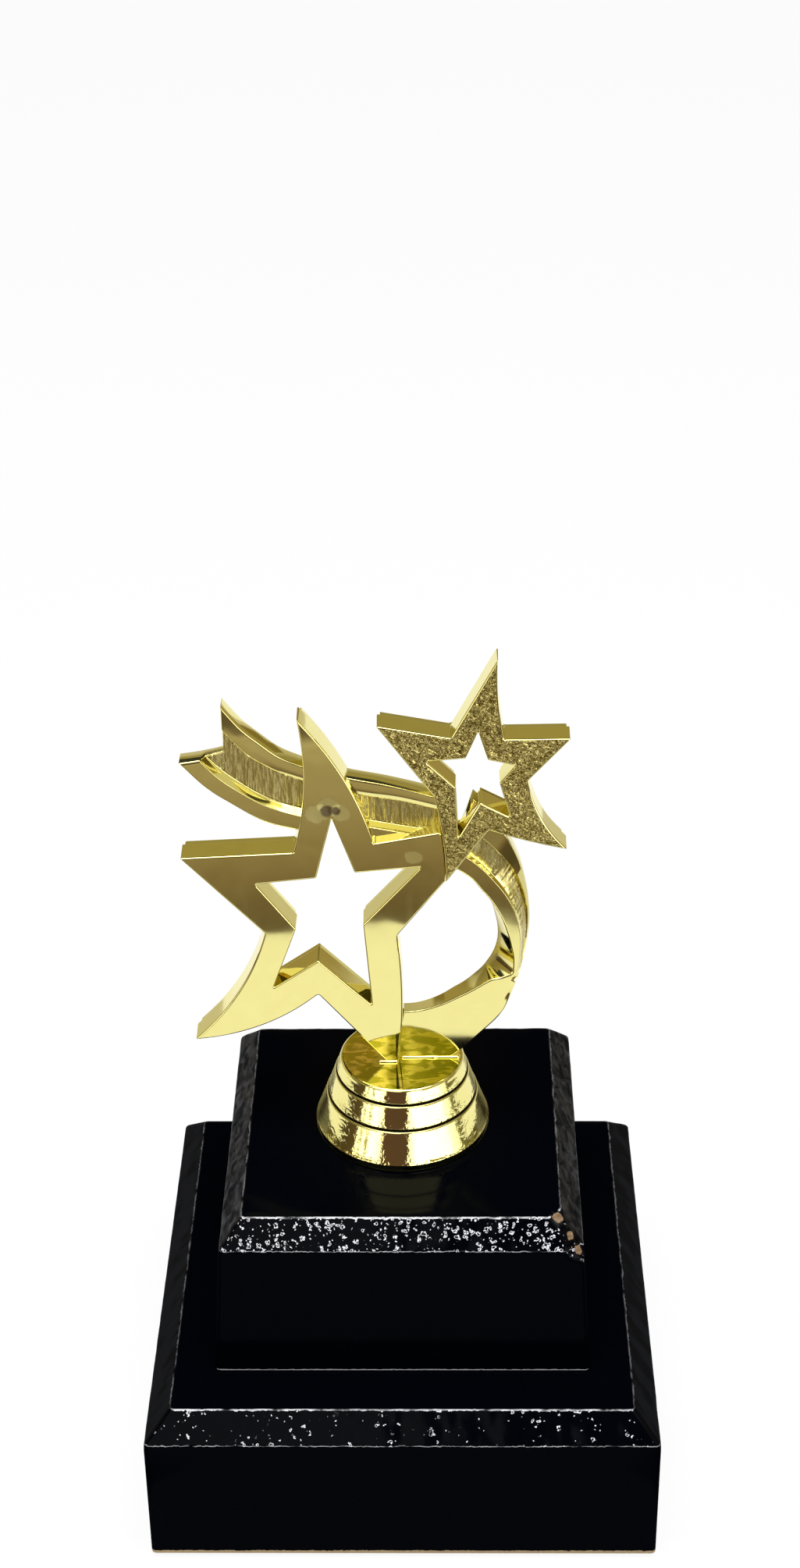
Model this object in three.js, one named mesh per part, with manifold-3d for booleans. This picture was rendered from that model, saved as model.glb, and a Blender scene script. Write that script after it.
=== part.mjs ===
// Star trophy: a metallised plastic figure, two open stars on a curling comet ribbon, bolted to a
// stepped base of two bevelled blocks. Millimetres, +Z up, the front faces -Y, and the origin is
// the middle of the underside. Figure outlines are drawn as seen from the front: u is to the right
// of the foot's axis, h is the height above the upper block, and depth runs back from that axis.
import * as THREE from "three";
import { mergeVertices } from "three/addons/utils/BufferGeometryUtils.js";
import Module from "manifold-3d";

const wasm = await Module();
wasm.setup();

// Base
const lowerBlockSide = 100;
const lowerBlockHeight = 34;
const upperBlockSide = 72;
const upperBlockHeight = 34;
const upperBlockSetback = 2.2;
const blockBevel = 5;
const blockCornerRadius = 0.8;
const feltThickness = 0.9;
const feltInset = 1.5;
const feltCornerRadius = 3;
const stackGap = 0.1;

// Rod, nuts, washer and screws
const rodDiameter = 6;
const rodBoreClearance = 0.4;
const threadClearance = 0.15;
const rodEndChamfer = 0.8;
const rodEndProud = 1.5;
const nutAcrossFlats = 10;
const nutHeight = 5;
const nutChamfer = 0.6;
const washerDiameter = 18;
const washerThickness = 1.6;
const hardwareGap = 0.2;
const counterboreDiameter = 24;
const counterboreDepth = 12;
const screwSpacing = 44;
const screwLength = 45;
const screwShankDiameter = 4;
const screwHeadDiameter = 8;
const screwHeadHeight = 2.6;
const screwTipLength = 5;
const screwSlotWidth = 1.1;
const screwSlotDepth = 1.2;
const screwSlotShare = 0.55;
const screwBoreClearance = 0.3;
const screwSinkDepth = 14;

// Foot of the figure
const footHeight = 16;
const footBottomRadius = 17.8;
const footTopRadius = 12.15;
const footLowerGrooveHeight = 8;
const footUpperGrooveHeight = 12.9;
const footGrooveWidth = 0.6;
const footGrooveDepth = 0.5;
const footTierStep = 0.25;
const footBottomRound = 1.2;
const footRoundShare = 0.3;
const footRimRound = 0.4;
const footWall = 1.6;
const footBossRadius = 7.8;
const footBossHeight = 11.2;
const footNutSeat = 3;
const footRibThickness = 1.4;
const footRibCount = 4;

// Stars. The big one's centre lies left of the foot's axis and a share of its own half height above
// the foot; the small one's centre is placed in shares of the big one's half width and half height.
const bigStarHalfWidth = 30;
const bigStarHalfHeight = 40;
const bigStarOffset = -11.6;
const bigStarLiftShare = 0.96;
const smallStarHalfWidth = 18;
const smallStarHalfHeight = 24;
const smallStarAcrossShare = 0.853;
const smallStarUpShare = 0.715;
const smallStarProud = 1;
const starFrontDepth = -2.8;
const starDepth = 7;
const starFrontShellDepth = 5;
const starBackStep = 0.3;
const starShellWall = 1.2;
const starFaceWall = 1.4;
const partingGap = 0.1;
const locatorDiameter = 2;
const locatorBossWall = 0.8;
const locatorReach = 1.2;
const locatorClearance = 0.15;
const starStandHeight = 2.5;

// Ribbon
const ribbonFrontDepth = -1.3;
const ribbonThickness = 4;
const ribbonFieldRecess = 1.5;
const seamGap = 0.2;
const tongueThickness = 1.6;
const tongueReach = 3.6;
const tongueWidth = 5;
const tongueBackStep = 0.3;
const tongueClearance = 0.2;
const loopWidthShare = 0.51;
const loopHeightShare = 0.3825;
const loopAcrossShare = 0.503;
const loopUpShare = -0.2725;
const loopTurnDepth = 5.6;
const loopLedge = 0.06;
const loopFlatAngle = -25;
const loopSunkAngle = 55;
const pegDrop = 3.5;
const starPegWidth = 2;
const loopPegWidth = 6;
const pegThickness = 2.2;

const cutOverrun = 2;
const mergeTolerance = 0.0005;
const mitreLimitShare = 0.16;
const curveSteps = 6;
const ribbonLineSteps = 3;
const pinSteps = 24;
const latheSteps = 64;
const loopSteps = 52;

// Outline points are [across share, up share, bow share]: shares of the star's half width and half
// height from its centre, and how far the edge to the next point bows outwards, as a share of its
// own length. The big star's right arm ends inside the small star, which carries on in its place.
const bigStarOutlineShares = [
  [-0.233, 1.0, 0.06],
  [0.227, 0.31, 0],
  [0.613, 0.368, 0],
  [0.787, 0.29, 0],
  [0.65, 0.075, 0],
  [0.37, -0.207, 0.031],
  [0.36, -0.935, 0],
  [0.263, -0.935, 0],
  [-0.15, -0.552, 0.085],
  [-0.97, -0.822, -0.07],
  [-0.483, -0.195, 0],
  [-1.0, 0.232, 0],
  [-0.28, 0.26, -0.055],
];
const bigStarHoleShares = [
  [-0.033, 0.45, 0],
  [0.103, 0.148, 0],
  [0.517, 0.175, 0],
  [0.15, -0.145, 0],
  [0.197, -0.615, 0],
  [-0.143, -0.353, 0],
  [-0.44, -0.513, 0],
  [-0.28, -0.17, 0],
  [-0.527, 0.085, 0],
  [-0.14, 0.118, 0],
];
const smallStarOutlineShares = [
  [0.24, 1.0, -0.03],
  [0.311, 0.283, 0],
  [0.994, 0.29, 0],
  [0.561, -0.083, -0.08],
  [0.985, -0.705, 0.02],
  [0.161, -0.529, 0],
  [-0.289, -1.013, -0.03],
  [-0.411, -0.221, 0],
  [-1.0, 0.404, 0],
  [-0.239, 0.296, 0],
];
const smallStarHoleShares = [
  [0.044, 0.35, 0],
  [0.144, 0.104, 0],
  [0.428, 0.054, 0],
  [0.267, -0.104, 0],
  [0.378, -0.404, 0],
  [0.067, -0.275, 0],
  [-0.156, -0.592, 0],
  [-0.183, -0.138, 0],
  [-0.489, 0.092, 0],
  [-0.083, 0.117, 0],
];

// Where locating pins stand inside the arms, as shares of the star's half width and half height
const bigStarPinShares = [
  [-0.09, 0.64],
  [-0.68, 0.12],
  [-0.6, -0.645],
  [0.25, -0.805],
  [0.17, 0.23],
];
const smallStarPinShares = [
  [0.11, 0.56],
  [0.644, 0.167],
  [-0.689, 0.233],
  [0.644, -0.517],
];

// The ribbon's four lengthwise lines from its swallow tail to the small star, top edge first, as
// shares of the big star's half width and half height from the big star's centre
const ribbonTopShares = [
  [-0.697, 1.042],
  [-0.577, 0.915],
  [-0.463, 0.832],
  [-0.363, 0.77],
  [-0.23, 0.72],
  [0.05, 0.652],
  [0.32, 0.608],
  [0.607, 0.548],
  [0.9, 0.47],
];
const ribbonUpperLineShares = [
  [-0.697, 0.905],
  [-0.57, 0.79],
  [-0.407, 0.7],
  [-0.233, 0.64],
  [0.113, 0.56],
  [0.43, 0.515],
  [0.6, 0.48],
  [0.9, 0.42],
];
const ribbonLowerLineShares = [
  [-0.847, 0.745],
  [-0.74, 0.655],
  [-0.597, 0.57],
  [-0.45, 0.5],
  [-0.25, 0.445],
  [0.197, 0.38],
  [0.463, 0.34],
  [0.9, 0.31],
];
const ribbonBottomShares = [
  [-0.973, 0.73],
  [-0.82, 0.602],
  [-0.64, 0.5],
  [-0.457, 0.412],
  [-0.277, 0.37],
  [0.1, 0.32],
  [0.5, 0.28],
  [0.9, 0.25],
];
const ribbonNotchAcrossShare = -0.697;
const ribbonNotchUpShare = 0.775;

// Where the ribbon would pass the big star's top arm, and an upright inside the small star's low arm
const ribbonSplitShare = -0.02;
const bandEndShare = -0.2;

// Middles of the tongues, as shares of the big star's (first two) and small star's sizes
const tailTongueShares = [-0.2, 0.55];
const bandLeftTongueShares = [0.13, 0.47];
const bandRightTongueShares = [-0.4, -0.42];
const loopTongueShares = [0.14, -0.54];

// Middles of the pegs across, as shares of the big star's half width
const starPegShare = 0.311;
const loopPegShare = 0.553;

// Stations down the loop, from under the small star round to the foot: the angle above level seen
// from the loop's centre, then radius shares of the inner edge's back, its front, the two borders
// of the lined field and the outer edge, then depth shares of the same borders, of the outer edge
// and of how far the ribbon's back moves away.
const loopStationShares = [
  [72, 1.2, 1.2, 1.44, 1.8, 2.2, 0, 0, 0, 0],
  [56, 1.155, 1.16, 1.345, 1.68, 1.91, 0, 0, 0.05, 0],
  [42, 1.1, 1.115, 1.295, 1.57, 1.69, 0.02, 0.3, 0.45, 0.14],
  [28, 1.03, 1.09, 1.27, 1.47, 1.525, 0.06, 0.6, 0.78, 0.36],
  [13, 1.0, 1.09, 1.265, 1.395, 1.42, 0.12, 0.8, 0.95, 0.46],
  [-2, 1.0, 1.145, 1.31, 1.365, 1.38, 0.2, 0.8, 0.95, 0.46],
  [-14, 0.995, 1.22, 1.31, 1.34, 1.352, 0.2, 0.55, 0.75, 0.34],
  [-23, 0.985, 1.262, 1.29, 1.305, 1.318, 0.1, 0.3, 0.5, 0.18],
  [-31, 0.97, 1.08, 1.2, 1.3, 1.36, 0, 0, 0.1, 0.05],
  [-45, 0.955, 1.02, 1.2, 1.38, 1.46, 0, 0, 0, 0],
  [-60, 0.96, 0.985, 1.25, 1.5, 1.57, 0, 0, 0, 0],
  [-76, 1.02, 1.005, 1.3, 1.7, 1.8, 0, 0, 0, 0],
  [-92, 1.1, 1.06, 1.4, 1.85, 2.0, 0, 0, 0, 0],
  [-108, 1.17, 1.13, 1.45, 1.9, 2.05, 0, 0, 0, 0],
];

// A finished geometry as a solid that can be joined and cut, and back again
function solidOf(geometry) {
  const bare = geometry.index ? geometry.toNonIndexed() : geometry.clone();
  bare.deleteAttribute("normal");
  bare.deleteAttribute("uv");
  const merged = mergeVertices(bare, mergeTolerance);
  const corners = merged.index.array;
  const kept = [];
  for (let i = 0; i < corners.length; i += 3) {
    const [a, b, c] = [corners[i], corners[i + 1], corners[i + 2]];
    if (a !== b && b !== c && c !== a) kept.push(a, b, c);
  }
  return new wasm.Manifold(
    new wasm.Mesh({
      numProp: 3,
      vertProperties: merged.attributes.position.array,
      triVerts: new Uint32Array(kept),
    }),
  );
}

function geometryOf(solid) {
  const mesh = solid.getMesh();
  const geometry = new THREE.BufferGeometry();
  geometry.setAttribute("position", new THREE.BufferAttribute(mesh.vertProperties, 3));
  geometry.setIndex(new THREE.BufferAttribute(mesh.triVerts, 1));
  const flat = geometry.toNonIndexed();
  flat.computeVertexNormals();
  return flat;
}

function cylinder(radius, bottom, top, x, y, sides = latheSteps) {
  const geometry = new THREE.CylinderGeometry(radius, radius, top - bottom, sides);
  geometry.rotateX(Math.PI / 2);
  geometry.translate(x, y, (bottom + top) / 2);
  return solidOf(geometry);
}

function box(low, high) {
  const size = high.map((value, i) => value - low[i]);
  const geometry = new THREE.BoxGeometry(...size);
  geometry.translate(...high.map((value, i) => (value + low[i]) / 2));
  return solidOf(geometry);
}

function revolve(profile, x, y, sides = latheSteps, start = 0) {
  const points = profile.map(([radius, height]) => new THREE.Vector2(radius, height));
  const geometry = new THREE.LatheGeometry(points, sides, start);
  geometry.rotateX(Math.PI / 2);
  geometry.translate(x, y, 0);
  return solidOf(geometry);
}

// The levels and places that the pieces share
const lowerBlockBottom = feltThickness + stackGap;
const lowerBlockTop = lowerBlockBottom + lowerBlockHeight;
const upperBlockBottom = lowerBlockTop + stackGap;
const upperBlockTop = upperBlockBottom + upperBlockHeight;
const footBottom = upperBlockTop + stackGap;
const axisX = 0;
const axisY = upperBlockSetback;
const rodBoreRadius = rodDiameter / 2 + rodBoreClearance;
const nutBoreRadius = rodDiameter / 2 + threadClearance;
const nutCornerRadius = nutAcrossFlats / 2 / Math.cos(Math.PI / 6);
const footNutBottom = footBottom + footNutSeat + hardwareGap;
const counterboreTop = lowerBlockBottom + counterboreDepth;
const washerTop = counterboreTop - hardwareGap;
const rodNutTop = washerTop - washerThickness - hardwareGap;
const rodBottom = rodNutTop - nutHeight - rodEndProud;
const rodTop = footNutBottom + nutHeight + rodEndProud;
const screwPlaces = [-screwSpacing / 2, screwSpacing / 2];
const screwBottom = lowerBlockBottom + screwSinkDepth;

function roundedSquare(side, radius) {
  const half = side / 2;
  const inner = half - radius;
  const shape = new THREE.Shape();
  shape.moveTo(-inner, -half);
  shape.absarc(inner, -inner, radius, -Math.PI / 2, 0);
  shape.absarc(inner, inner, radius, 0, Math.PI / 2);
  shape.absarc(-inner, inner, radius, Math.PI / 2, Math.PI);
  shape.absarc(-inner, -inner, radius, Math.PI, 1.5 * Math.PI);
  return shape;
}

// A block: a four-sided turned form, bevelled round the top, with its upright corners eased
function bevelledBlock(side, bottom, height, y) {
  const top = bottom + height;
  const corner = (side / 2) * Math.SQRT2;
  const profile = [
    [0, bottom],
    [corner, bottom],
    [corner, top - blockBevel],
    [corner - blockBevel * Math.SQRT2, top],
    [0, top],
  ];
  const outline = new THREE.ExtrudeGeometry(roundedSquare(side, blockCornerRadius), {
    depth: height + 2 * cutOverrun,
    bevelEnabled: false,
    curveSegments: curveSteps,
  });
  outline.translate(0, y, bottom - cutOverrun);
  return revolve(profile, 0, y, 4, Math.PI / 4).intersect(solidOf(outline));
}

function screwBore(x, bottom, top) {
  return cylinder(screwShankDiameter / 2 + screwBoreClearance, bottom, top, x, axisY, 24);
}

function lowerBlock() {
  let block = bevelledBlock(lowerBlockSide, lowerBlockBottom, lowerBlockHeight, 0);
  const cutBottom = lowerBlockBottom - cutOverrun;
  const cutTop = lowerBlockTop + cutOverrun;
  block = block.subtract(cylinder(rodBoreRadius, cutBottom, cutTop, axisX, axisY, 32));
  block = block.subtract(
    cylinder(counterboreDiameter / 2, cutBottom, counterboreTop, axisX, axisY, 48),
  );
  const headRadius = screwHeadDiameter / 2 + screwBoreClearance;
  const headTop = screwBottom + screwHeadHeight + hardwareGap;
  for (const x of screwPlaces) {
    block = block.subtract(screwBore(x, cutBottom, cutTop));
    const sink = [
      [0, cutBottom],
      [headRadius, cutBottom],
      [headRadius, screwBottom + hardwareGap],
      [screwShankDiameter / 2 + screwBoreClearance, headTop],
      [0, headTop],
    ];
    block = block.subtract(revolve(sink, x, axisY, 32));
  }
  return block;
}

function upperBlock() {
  let block = bevelledBlock(upperBlockSide, upperBlockBottom, upperBlockHeight, axisY);
  const cutBottom = upperBlockBottom - cutOverrun;
  block = block.subtract(
    cylinder(rodBoreRadius, cutBottom, upperBlockTop + cutOverrun, axisX, axisY, 32),
  );
  const screwTop = screwBottom + screwLength + screwBoreClearance;
  for (const x of screwPlaces) block = block.subtract(screwBore(x, cutBottom, screwTop));
  return block;
}

function feltSheet() {
  const shape = roundedSquare(lowerBlockSide - 2 * feltInset, feltCornerRadius);
  const geometry = new THREE.ExtrudeGeometry(shape, {
    depth: feltThickness,
    bevelEnabled: false,
    curveSegments: curveSteps,
  });
  return solidOf(geometry);
}

function tieRod() {
  const radius = rodDiameter / 2;
  const profile = [
    [0, rodBottom],
    [radius - rodEndChamfer, rodBottom],
    [radius, rodBottom + rodEndChamfer],
    [radius, rodTop - rodEndChamfer],
    [radius - rodEndChamfer, rodTop],
    [0, rodTop],
  ];
  return revolve(profile, axisX, axisY, 32);
}

// A hexagon nut: a six-sided prism with its corners chamfered by a turned form
function hexNut(bottom) {
  const top = bottom + nutHeight;
  const prism = cylinder(nutCornerRadius, bottom, top, axisX, axisY, 6);
  const flat = nutAcrossFlats / 2;
  const turned = [
    [0, bottom],
    [flat, bottom],
    [nutCornerRadius, bottom + nutChamfer],
    [nutCornerRadius, top - nutChamfer],
    [flat, top],
    [0, top],
  ];
  const bore = cylinder(nutBoreRadius, bottom - cutOverrun, top + cutOverrun, axisX, axisY, 32);
  return prism.intersect(revolve(turned, axisX, axisY, 48)).subtract(bore);
}

function rodWasher() {
  const bottom = washerTop - washerThickness;
  const bore = cylinder(rodBoreRadius, bottom - cutOverrun, washerTop + cutOverrun, axisX, axisY, 32);
  return cylinder(washerDiameter / 2, bottom, washerTop, axisX, axisY, 48).subtract(bore);
}

// A countersunk wood screw, head down, with a crossed slot
function blockScrew(x) {
  const shank = screwShankDiameter / 2;
  const head = screwHeadDiameter / 2;
  const profile = [
    [0, screwBottom],
    [head, screwBottom],
    [shank, screwBottom + screwHeadHeight],
    [shank, screwBottom + screwLength - screwTipLength],
    [0, screwBottom + screwLength],
  ];
  let screw = revolve(profile, x, axisY, 24);
  const slotReach = head * screwSlotShare;
  for (const [across, along] of [[slotReach, screwSlotWidth / 2], [screwSlotWidth / 2, slotReach]]) {
    const low = [x - across, axisY - along, screwBottom - cutOverrun];
    const high = [x + across, axisY + along, screwBottom + screwSlotDepth];
    screw = screw.subtract(box(low, high));
  }
  return screw;
}

// Radius of the foot's plain cone at a height, before its grooves and steps
function footConeRadius(height) {
  return footBottomRadius + ((footTopRadius - footBottomRadius) * height) / footHeight;
}

// The foot: a hollow three-tier cone, ribs inside that carry a boss, and the nut caught in the boss
function figureFoot() {
  const profile = [[0, 0], [footBottomRadius - footBottomRound, 0]];
  const eased = footBottomRound * footRoundShare;
  profile.push([footBottomRadius - eased, eased]);
  profile.push([footConeRadius(footBottomRound), footBottomRound]);
  for (const height of [footLowerGrooveHeight, footUpperGrooveHeight]) {
    const low = height - footGrooveWidth / 2;
    const high = height + footGrooveWidth / 2;
    profile.push([footConeRadius(low) - footTierStep / 2, low]);
    profile.push([footConeRadius(height) - footGrooveDepth - footTierStep, height]);
    profile.push([footConeRadius(high) - footTierStep, high]);
    profile.push([footConeRadius(high + footGrooveWidth) - footTierStep / 2, high + footGrooveWidth]);
  }
  profile.push([footTopRadius + footRimRound / 2, footHeight - footRimRound]);
  profile.push([footTopRadius - footRimRound, footHeight]);
  profile.push([0, footHeight]);
  const roof = footHeight - footWall;
  const hollow = [
    [0, -cutOverrun],
    [footConeRadius(0) - footWall, -cutOverrun],
    [footConeRadius(0) - footWall, 0],
    [footConeRadius(roof) - footWall, roof],
    [0, roof],
  ];
  const outside = revolve(profile, 0, 0);
  let inside = revolve(hollow, 0, 0);
  inside = inside.subtract(cylinder(footBossRadius, -2 * cutOverrun, footBossHeight, 0, 0, 48));
  for (let i = 0; i < footRibCount; i += 1) {
    const rib = new THREE.BoxGeometry(footBottomRadius, footRibThickness, footHeight);
    rib.translate(footBottomRadius / 2 + footBossRadius / 2, 0, footHeight / 2);
    rib.rotateZ(((i + 0.5) * 2 * Math.PI) / footRibCount);
    inside = inside.subtract(solidOf(rib));
  }
  let foot = outside.subtract(inside);
  foot = foot.subtract(cylinder(rodBoreRadius, -cutOverrun, footNutSeat + nutHeight, 0, 0, 32));
  const pocket = cylinder(
    nutCornerRadius + hardwareGap,
    footNutSeat,
    footNutSeat + nutHeight + 2 * hardwareGap,
    0,
    0,
    6,
  );
  foot = foot.subtract(pocket);
  const rodRoom = footNutSeat + nutHeight + rodEndProud + 2 * hardwareGap + hardwareGap;
  foot = foot.subtract(cylinder(rodBoreRadius, footNutSeat, rodRoom, 0, 0, 32));
  return foot.translate([axisX, axisY, footBottom]);
}

// Figure coordinates to the trophy's frame
function place(u, depth, h) {
  return [axisX + u, axisY + depth, footBottom + h];
}

function figureBox(lowU, highU, lowDepth, highDepth, lowH, highH) {
  return box(place(lowU, lowDepth, lowH), place(highU, highDepth, highH));
}

// Outline shares as points in figure coordinates
function starPoints(shares, star) {
  return shares.map(([across, up, bow]) => ({
    u: star.centreU + across * star.halfWidth,
    h: star.centreH + up * star.halfHeight,
    bow,
  }));
}

// 1 for an outline that runs anticlockwise, -1 for clockwise
function turnOf(points) {
  const area = points.reduce((sum, point, i) => {
    const next = points[(i + 1) % points.length];
    return sum + point.u * next.h - next.u * point.h;
  }, 0);
  return Math.sign(area);
}

// Moves each edge of an outline sideways by a distance, outwards if it is positive
function offsetPoints(points, distance) {
  const count = points.length;
  const side = turnOf(points);
  return points.map((point, i) => {
    const before = points[(i + count - 1) % count];
    const after = points[(i + 1) % count];
    const first = new THREE.Vector2(point.h - before.h, before.u - point.u).normalize();
    const second = new THREE.Vector2(after.h - point.h, point.u - after.u).normalize();
    const middle = first.clone().add(second).normalize();
    const reach = (side * distance) / Math.max(middle.dot(first), mitreLimitShare);
    return { u: point.u + middle.x * reach, h: point.h + middle.y * reach, bow: point.bow };
  });
}

// An outline as a row of points, with its bowed edges drawn as curves
function outlineRow(points) {
  const side = turnOf(points);
  return points.flatMap((point, i) => {
    const start = new THREE.Vector2(point.u, point.h);
    if (point.bow === 0) return [start];
    const next = points[(i + 1) % points.length];
    const lean = 2 * point.bow * side;
    const control = new THREE.Vector2(
      (point.u + next.u) / 2 + lean * (next.h - point.h),
      (point.h + next.h) / 2 - lean * (next.u - point.u),
    );
    const curve = new THREE.QuadraticBezierCurve(start, control, new THREE.Vector2(next.u, next.h));
    return curve.getPoints(curveSteps).slice(0, -1);
  });
}

// A flat shape seen from the front, as a solid between two depths
function standingSolid(shape, front, back) {
  const geometry = new THREE.ExtrudeGeometry(shape, {
    depth: back - front,
    bevelEnabled: false,
  });
  geometry.rotateX(Math.PI / 2);
  geometry.translate(...place(0, back, 0));
  return solidOf(geometry);
}

// A plate cut to an outline, with its opening where one is given
function plate(outline, hole, front, back) {
  const solid = standingSolid(new THREE.Shape(outlineRow(outline)), front, back);
  if (!hole) return solid;
  const through = new THREE.Shape(outlineRow(hole));
  return solid.subtract(standingSolid(through, front - cutOverrun, back + cutOverrun));
}

function makeStar(centreU, centreH, halfWidth, halfHeight, front, outline, hole, pins) {
  const star = { centreU, centreH, halfWidth, halfHeight, front };
  star.outline = starPoints(outline, star);
  star.hole = starPoints(hole, star);
  star.pins = starPoints(pins, star);
  return star;
}

const bigStar = makeStar(
  bigStarOffset,
  footHeight + bigStarLiftShare * bigStarHalfHeight,
  bigStarHalfWidth,
  bigStarHalfHeight,
  starFrontDepth,
  bigStarOutlineShares,
  bigStarHoleShares,
  bigStarPinShares,
);
const smallStar = makeStar(
  bigStar.centreU + smallStarAcrossShare * bigStarHalfWidth,
  bigStar.centreH + smallStarUpShare * bigStarHalfHeight,
  smallStarHalfWidth,
  smallStarHalfHeight,
  starFrontDepth - smallStarProud,
  smallStarOutlineShares,
  smallStarHoleShares,
  smallStarPinShares,
);
const figureBack = starFrontDepth + starDepth;
const partingDepth = starFrontDepth + starFrontShellDepth;
const backShellFront = partingDepth + partingGap;
const fullFront = smallStar.front - cutOverrun;
const fullBack = figureBack + loopTurnDepth;
const farLeft = bigStar.centreU - 2 * bigStarHalfWidth;
const farRight = smallStar.centreU + 2 * smallStarHalfWidth;
const farTop = smallStar.centreH + 2 * smallStarHalfHeight;
const figureBottom = footHeight + stackGap;

// The room that a star takes up, its opening filled in
function starRoom(star, gap) {
  return plate(offsetPoints(star.outline, gap), null, fullFront, fullBack);
}

// The solid end of the big star's lower arm, between the foot and the arm's hollow
function starStand(front, back, inset) {
  const corners = bigStar.outline.slice().sort((a, b) => a.h - b.h).slice(0, 2);
  const low = Math.min(...corners.map((corner) => corner.u)) + inset;
  const high = Math.max(...corners.map((corner) => corner.u)) - inset;
  const top = corners[0].h + starStandHeight;
  return figureBox(low, high, front, back, footHeight, top);
}

const bigStarRoom = starRoom(bigStar, seamGap).add(starStand(fullFront, fullBack, -seamGap));
const smallStarRoom = starRoom(smallStar, seamGap);
const underFigure = figureBox(farLeft, farRight, fullFront, fullBack, -footHeight, figureBottom);

// A round pin or bore along the depth
function depthPin(at, radius, front, back) {
  const geometry = new THREE.CylinderGeometry(radius, radius, back - front, pinSteps);
  geometry.translate(...place(at.u, (front + back) / 2, at.h));
  return solidOf(geometry);
}

// A tongue of a ribbon piece, caught between the shells at their parting line
function tongue(star, [across, up], alongU, grow) {
  const reach = tongueReach / 2 + grow;
  const width = tongueWidth / 2 + grow;
  const back = ribbonFrontDepth + ribbonThickness - tongueBackStep;
  const front = back - tongueThickness;
  const u = star.centreU + across * star.halfWidth;
  const h = star.centreH + up * star.halfHeight;
  const halfU = alongU ? reach : width;
  const halfH = alongU ? width : reach;
  return figureBox(u - halfU, u + halfU, front - grow, back + grow, h - halfH, h + halfH);
}

const tailTongue = (grow) => tongue(bigStar, tailTongueShares, true, grow);
const bandLeftTongue = (grow) => tongue(bigStar, bandLeftTongueShares, true, grow);
const bandRightTongue = (grow) => tongue(smallStar, bandRightTongueShares, true, grow);
const loopTongue = (grow) => tongue(smallStar, loopTongueShares, false, grow);

// A peg under the figure that drops into a slot in the foot's top
function peg(share, width, grow) {
  const u = bigStar.centreU + share * bigStar.halfWidth;
  const front = ribbonFrontDepth + (ribbonThickness - pegThickness) / 2;
  return figureBox(
    u - width / 2 - grow,
    u + width / 2 + grow,
    front - grow,
    front + pegThickness + grow,
    footHeight - pegDrop - grow,
    footHeight + starStandHeight / 2,
  );
}

const starPeg = (grow) => peg(starPegShare, starPegWidth, grow);
const loopPeg = (grow) => peg(loopPegShare, loopPegWidth, grow);

// A star's front shell: face and side walls in one, open behind, with pins that find the back shell
function frontShell(star, blocked) {
  let shell = plate(star.outline, star.hole, star.front, partingDepth);
  let hollow = plate(
    offsetPoints(star.outline, -starShellWall),
    offsetPoints(star.hole, starShellWall),
    star.front + starFaceWall,
    partingDepth + cutOverrun,
  );
  if (blocked) hollow = hollow.subtract(blocked);
  shell = shell.subtract(hollow);
  for (const pin of star.pins) {
    shell = shell.add(
      depthPin(pin, locatorDiameter / 2, star.front + starFaceWall / 2, partingDepth + locatorReach),
    );
  }
  return shell;
}

// A star's back shell: shallower, a little smaller all round, open in front
function backShell(star, blocked) {
  const outline = offsetPoints(star.outline, -starBackStep);
  const hole = offsetPoints(star.hole, starBackStep);
  let shell = plate(outline, hole, backShellFront, figureBack);
  let hollow = plate(
    offsetPoints(outline, -starShellWall),
    offsetPoints(hole, starShellWall),
    backShellFront - cutOverrun,
    figureBack - starFaceWall,
  );
  if (blocked) hollow = hollow.subtract(blocked);
  shell = shell.subtract(hollow);
  const bore = locatorDiameter / 2 + locatorClearance;
  for (const pin of star.pins) {
    shell = shell.add(
      depthPin(pin, bore + locatorBossWall, backShellFront, figureBack - starFaceWall / 2),
    );
  }
  for (const pin of star.pins) {
    const end = partingDepth + locatorReach + locatorClearance;
    shell = shell.subtract(depthPin(pin, bore, backShellFront - cutOverrun, end));
  }
  return shell;
}

// The big star's right arm stops at the small star with a closed end
function bigStarShell(shell) {
  return shell.subtract(smallStarRoom).subtract(underFigure);
}

const armEnd = starRoom(smallStar, seamGap + starShellWall);

function bigStarFront() {
  const shell = frontShell(bigStar, armEnd).add(starStand(bigStar.front, partingDepth, 0));
  return bigStarShell(shell)
    .subtract(tailTongue(tongueClearance))
    .subtract(bandLeftTongue(tongueClearance))
    .add(starPeg(0));
}

function bigStarBack() {
  const stand = starStand(backShellFront, figureBack, starBackStep);
  return bigStarShell(backShell(bigStar, armEnd).add(stand))
    .subtract(tailTongue(tongueClearance))
    .subtract(bandLeftTongue(tongueClearance))
    .subtract(starPeg(tongueClearance));
}

function smallStarFront() {
  return frontShell(smallStar, null)
    .subtract(bandRightTongue(tongueClearance))
    .subtract(loopTongue(tongueClearance));
}

function smallStarBack() {
  return backShell(smallStar, null)
    .subtract(bandRightTongue(tongueClearance))
    .subtract(loopTongue(tongueClearance));
}

// A smooth line through ribbon share points
function ribbonPoint(across, up) {
  return new THREE.Vector2(
    bigStar.centreU + across * bigStar.halfWidth,
    bigStar.centreH + up * bigStar.halfHeight,
  );
}

function ribbonLine(shares) {
  const curve = new THREE.SplineCurve(shares.map(([across, up]) => ribbonPoint(across, up)));
  return curve.getPoints((shares.length - 1) * ribbonLineSteps);
}

function ribbonPlate(upper, lower, front) {
  const shape = new THREE.Shape([...upper, ...lower.slice().reverse()]);
  return standingSolid(shape, front, ribbonFrontDepth + ribbonThickness);
}

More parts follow.
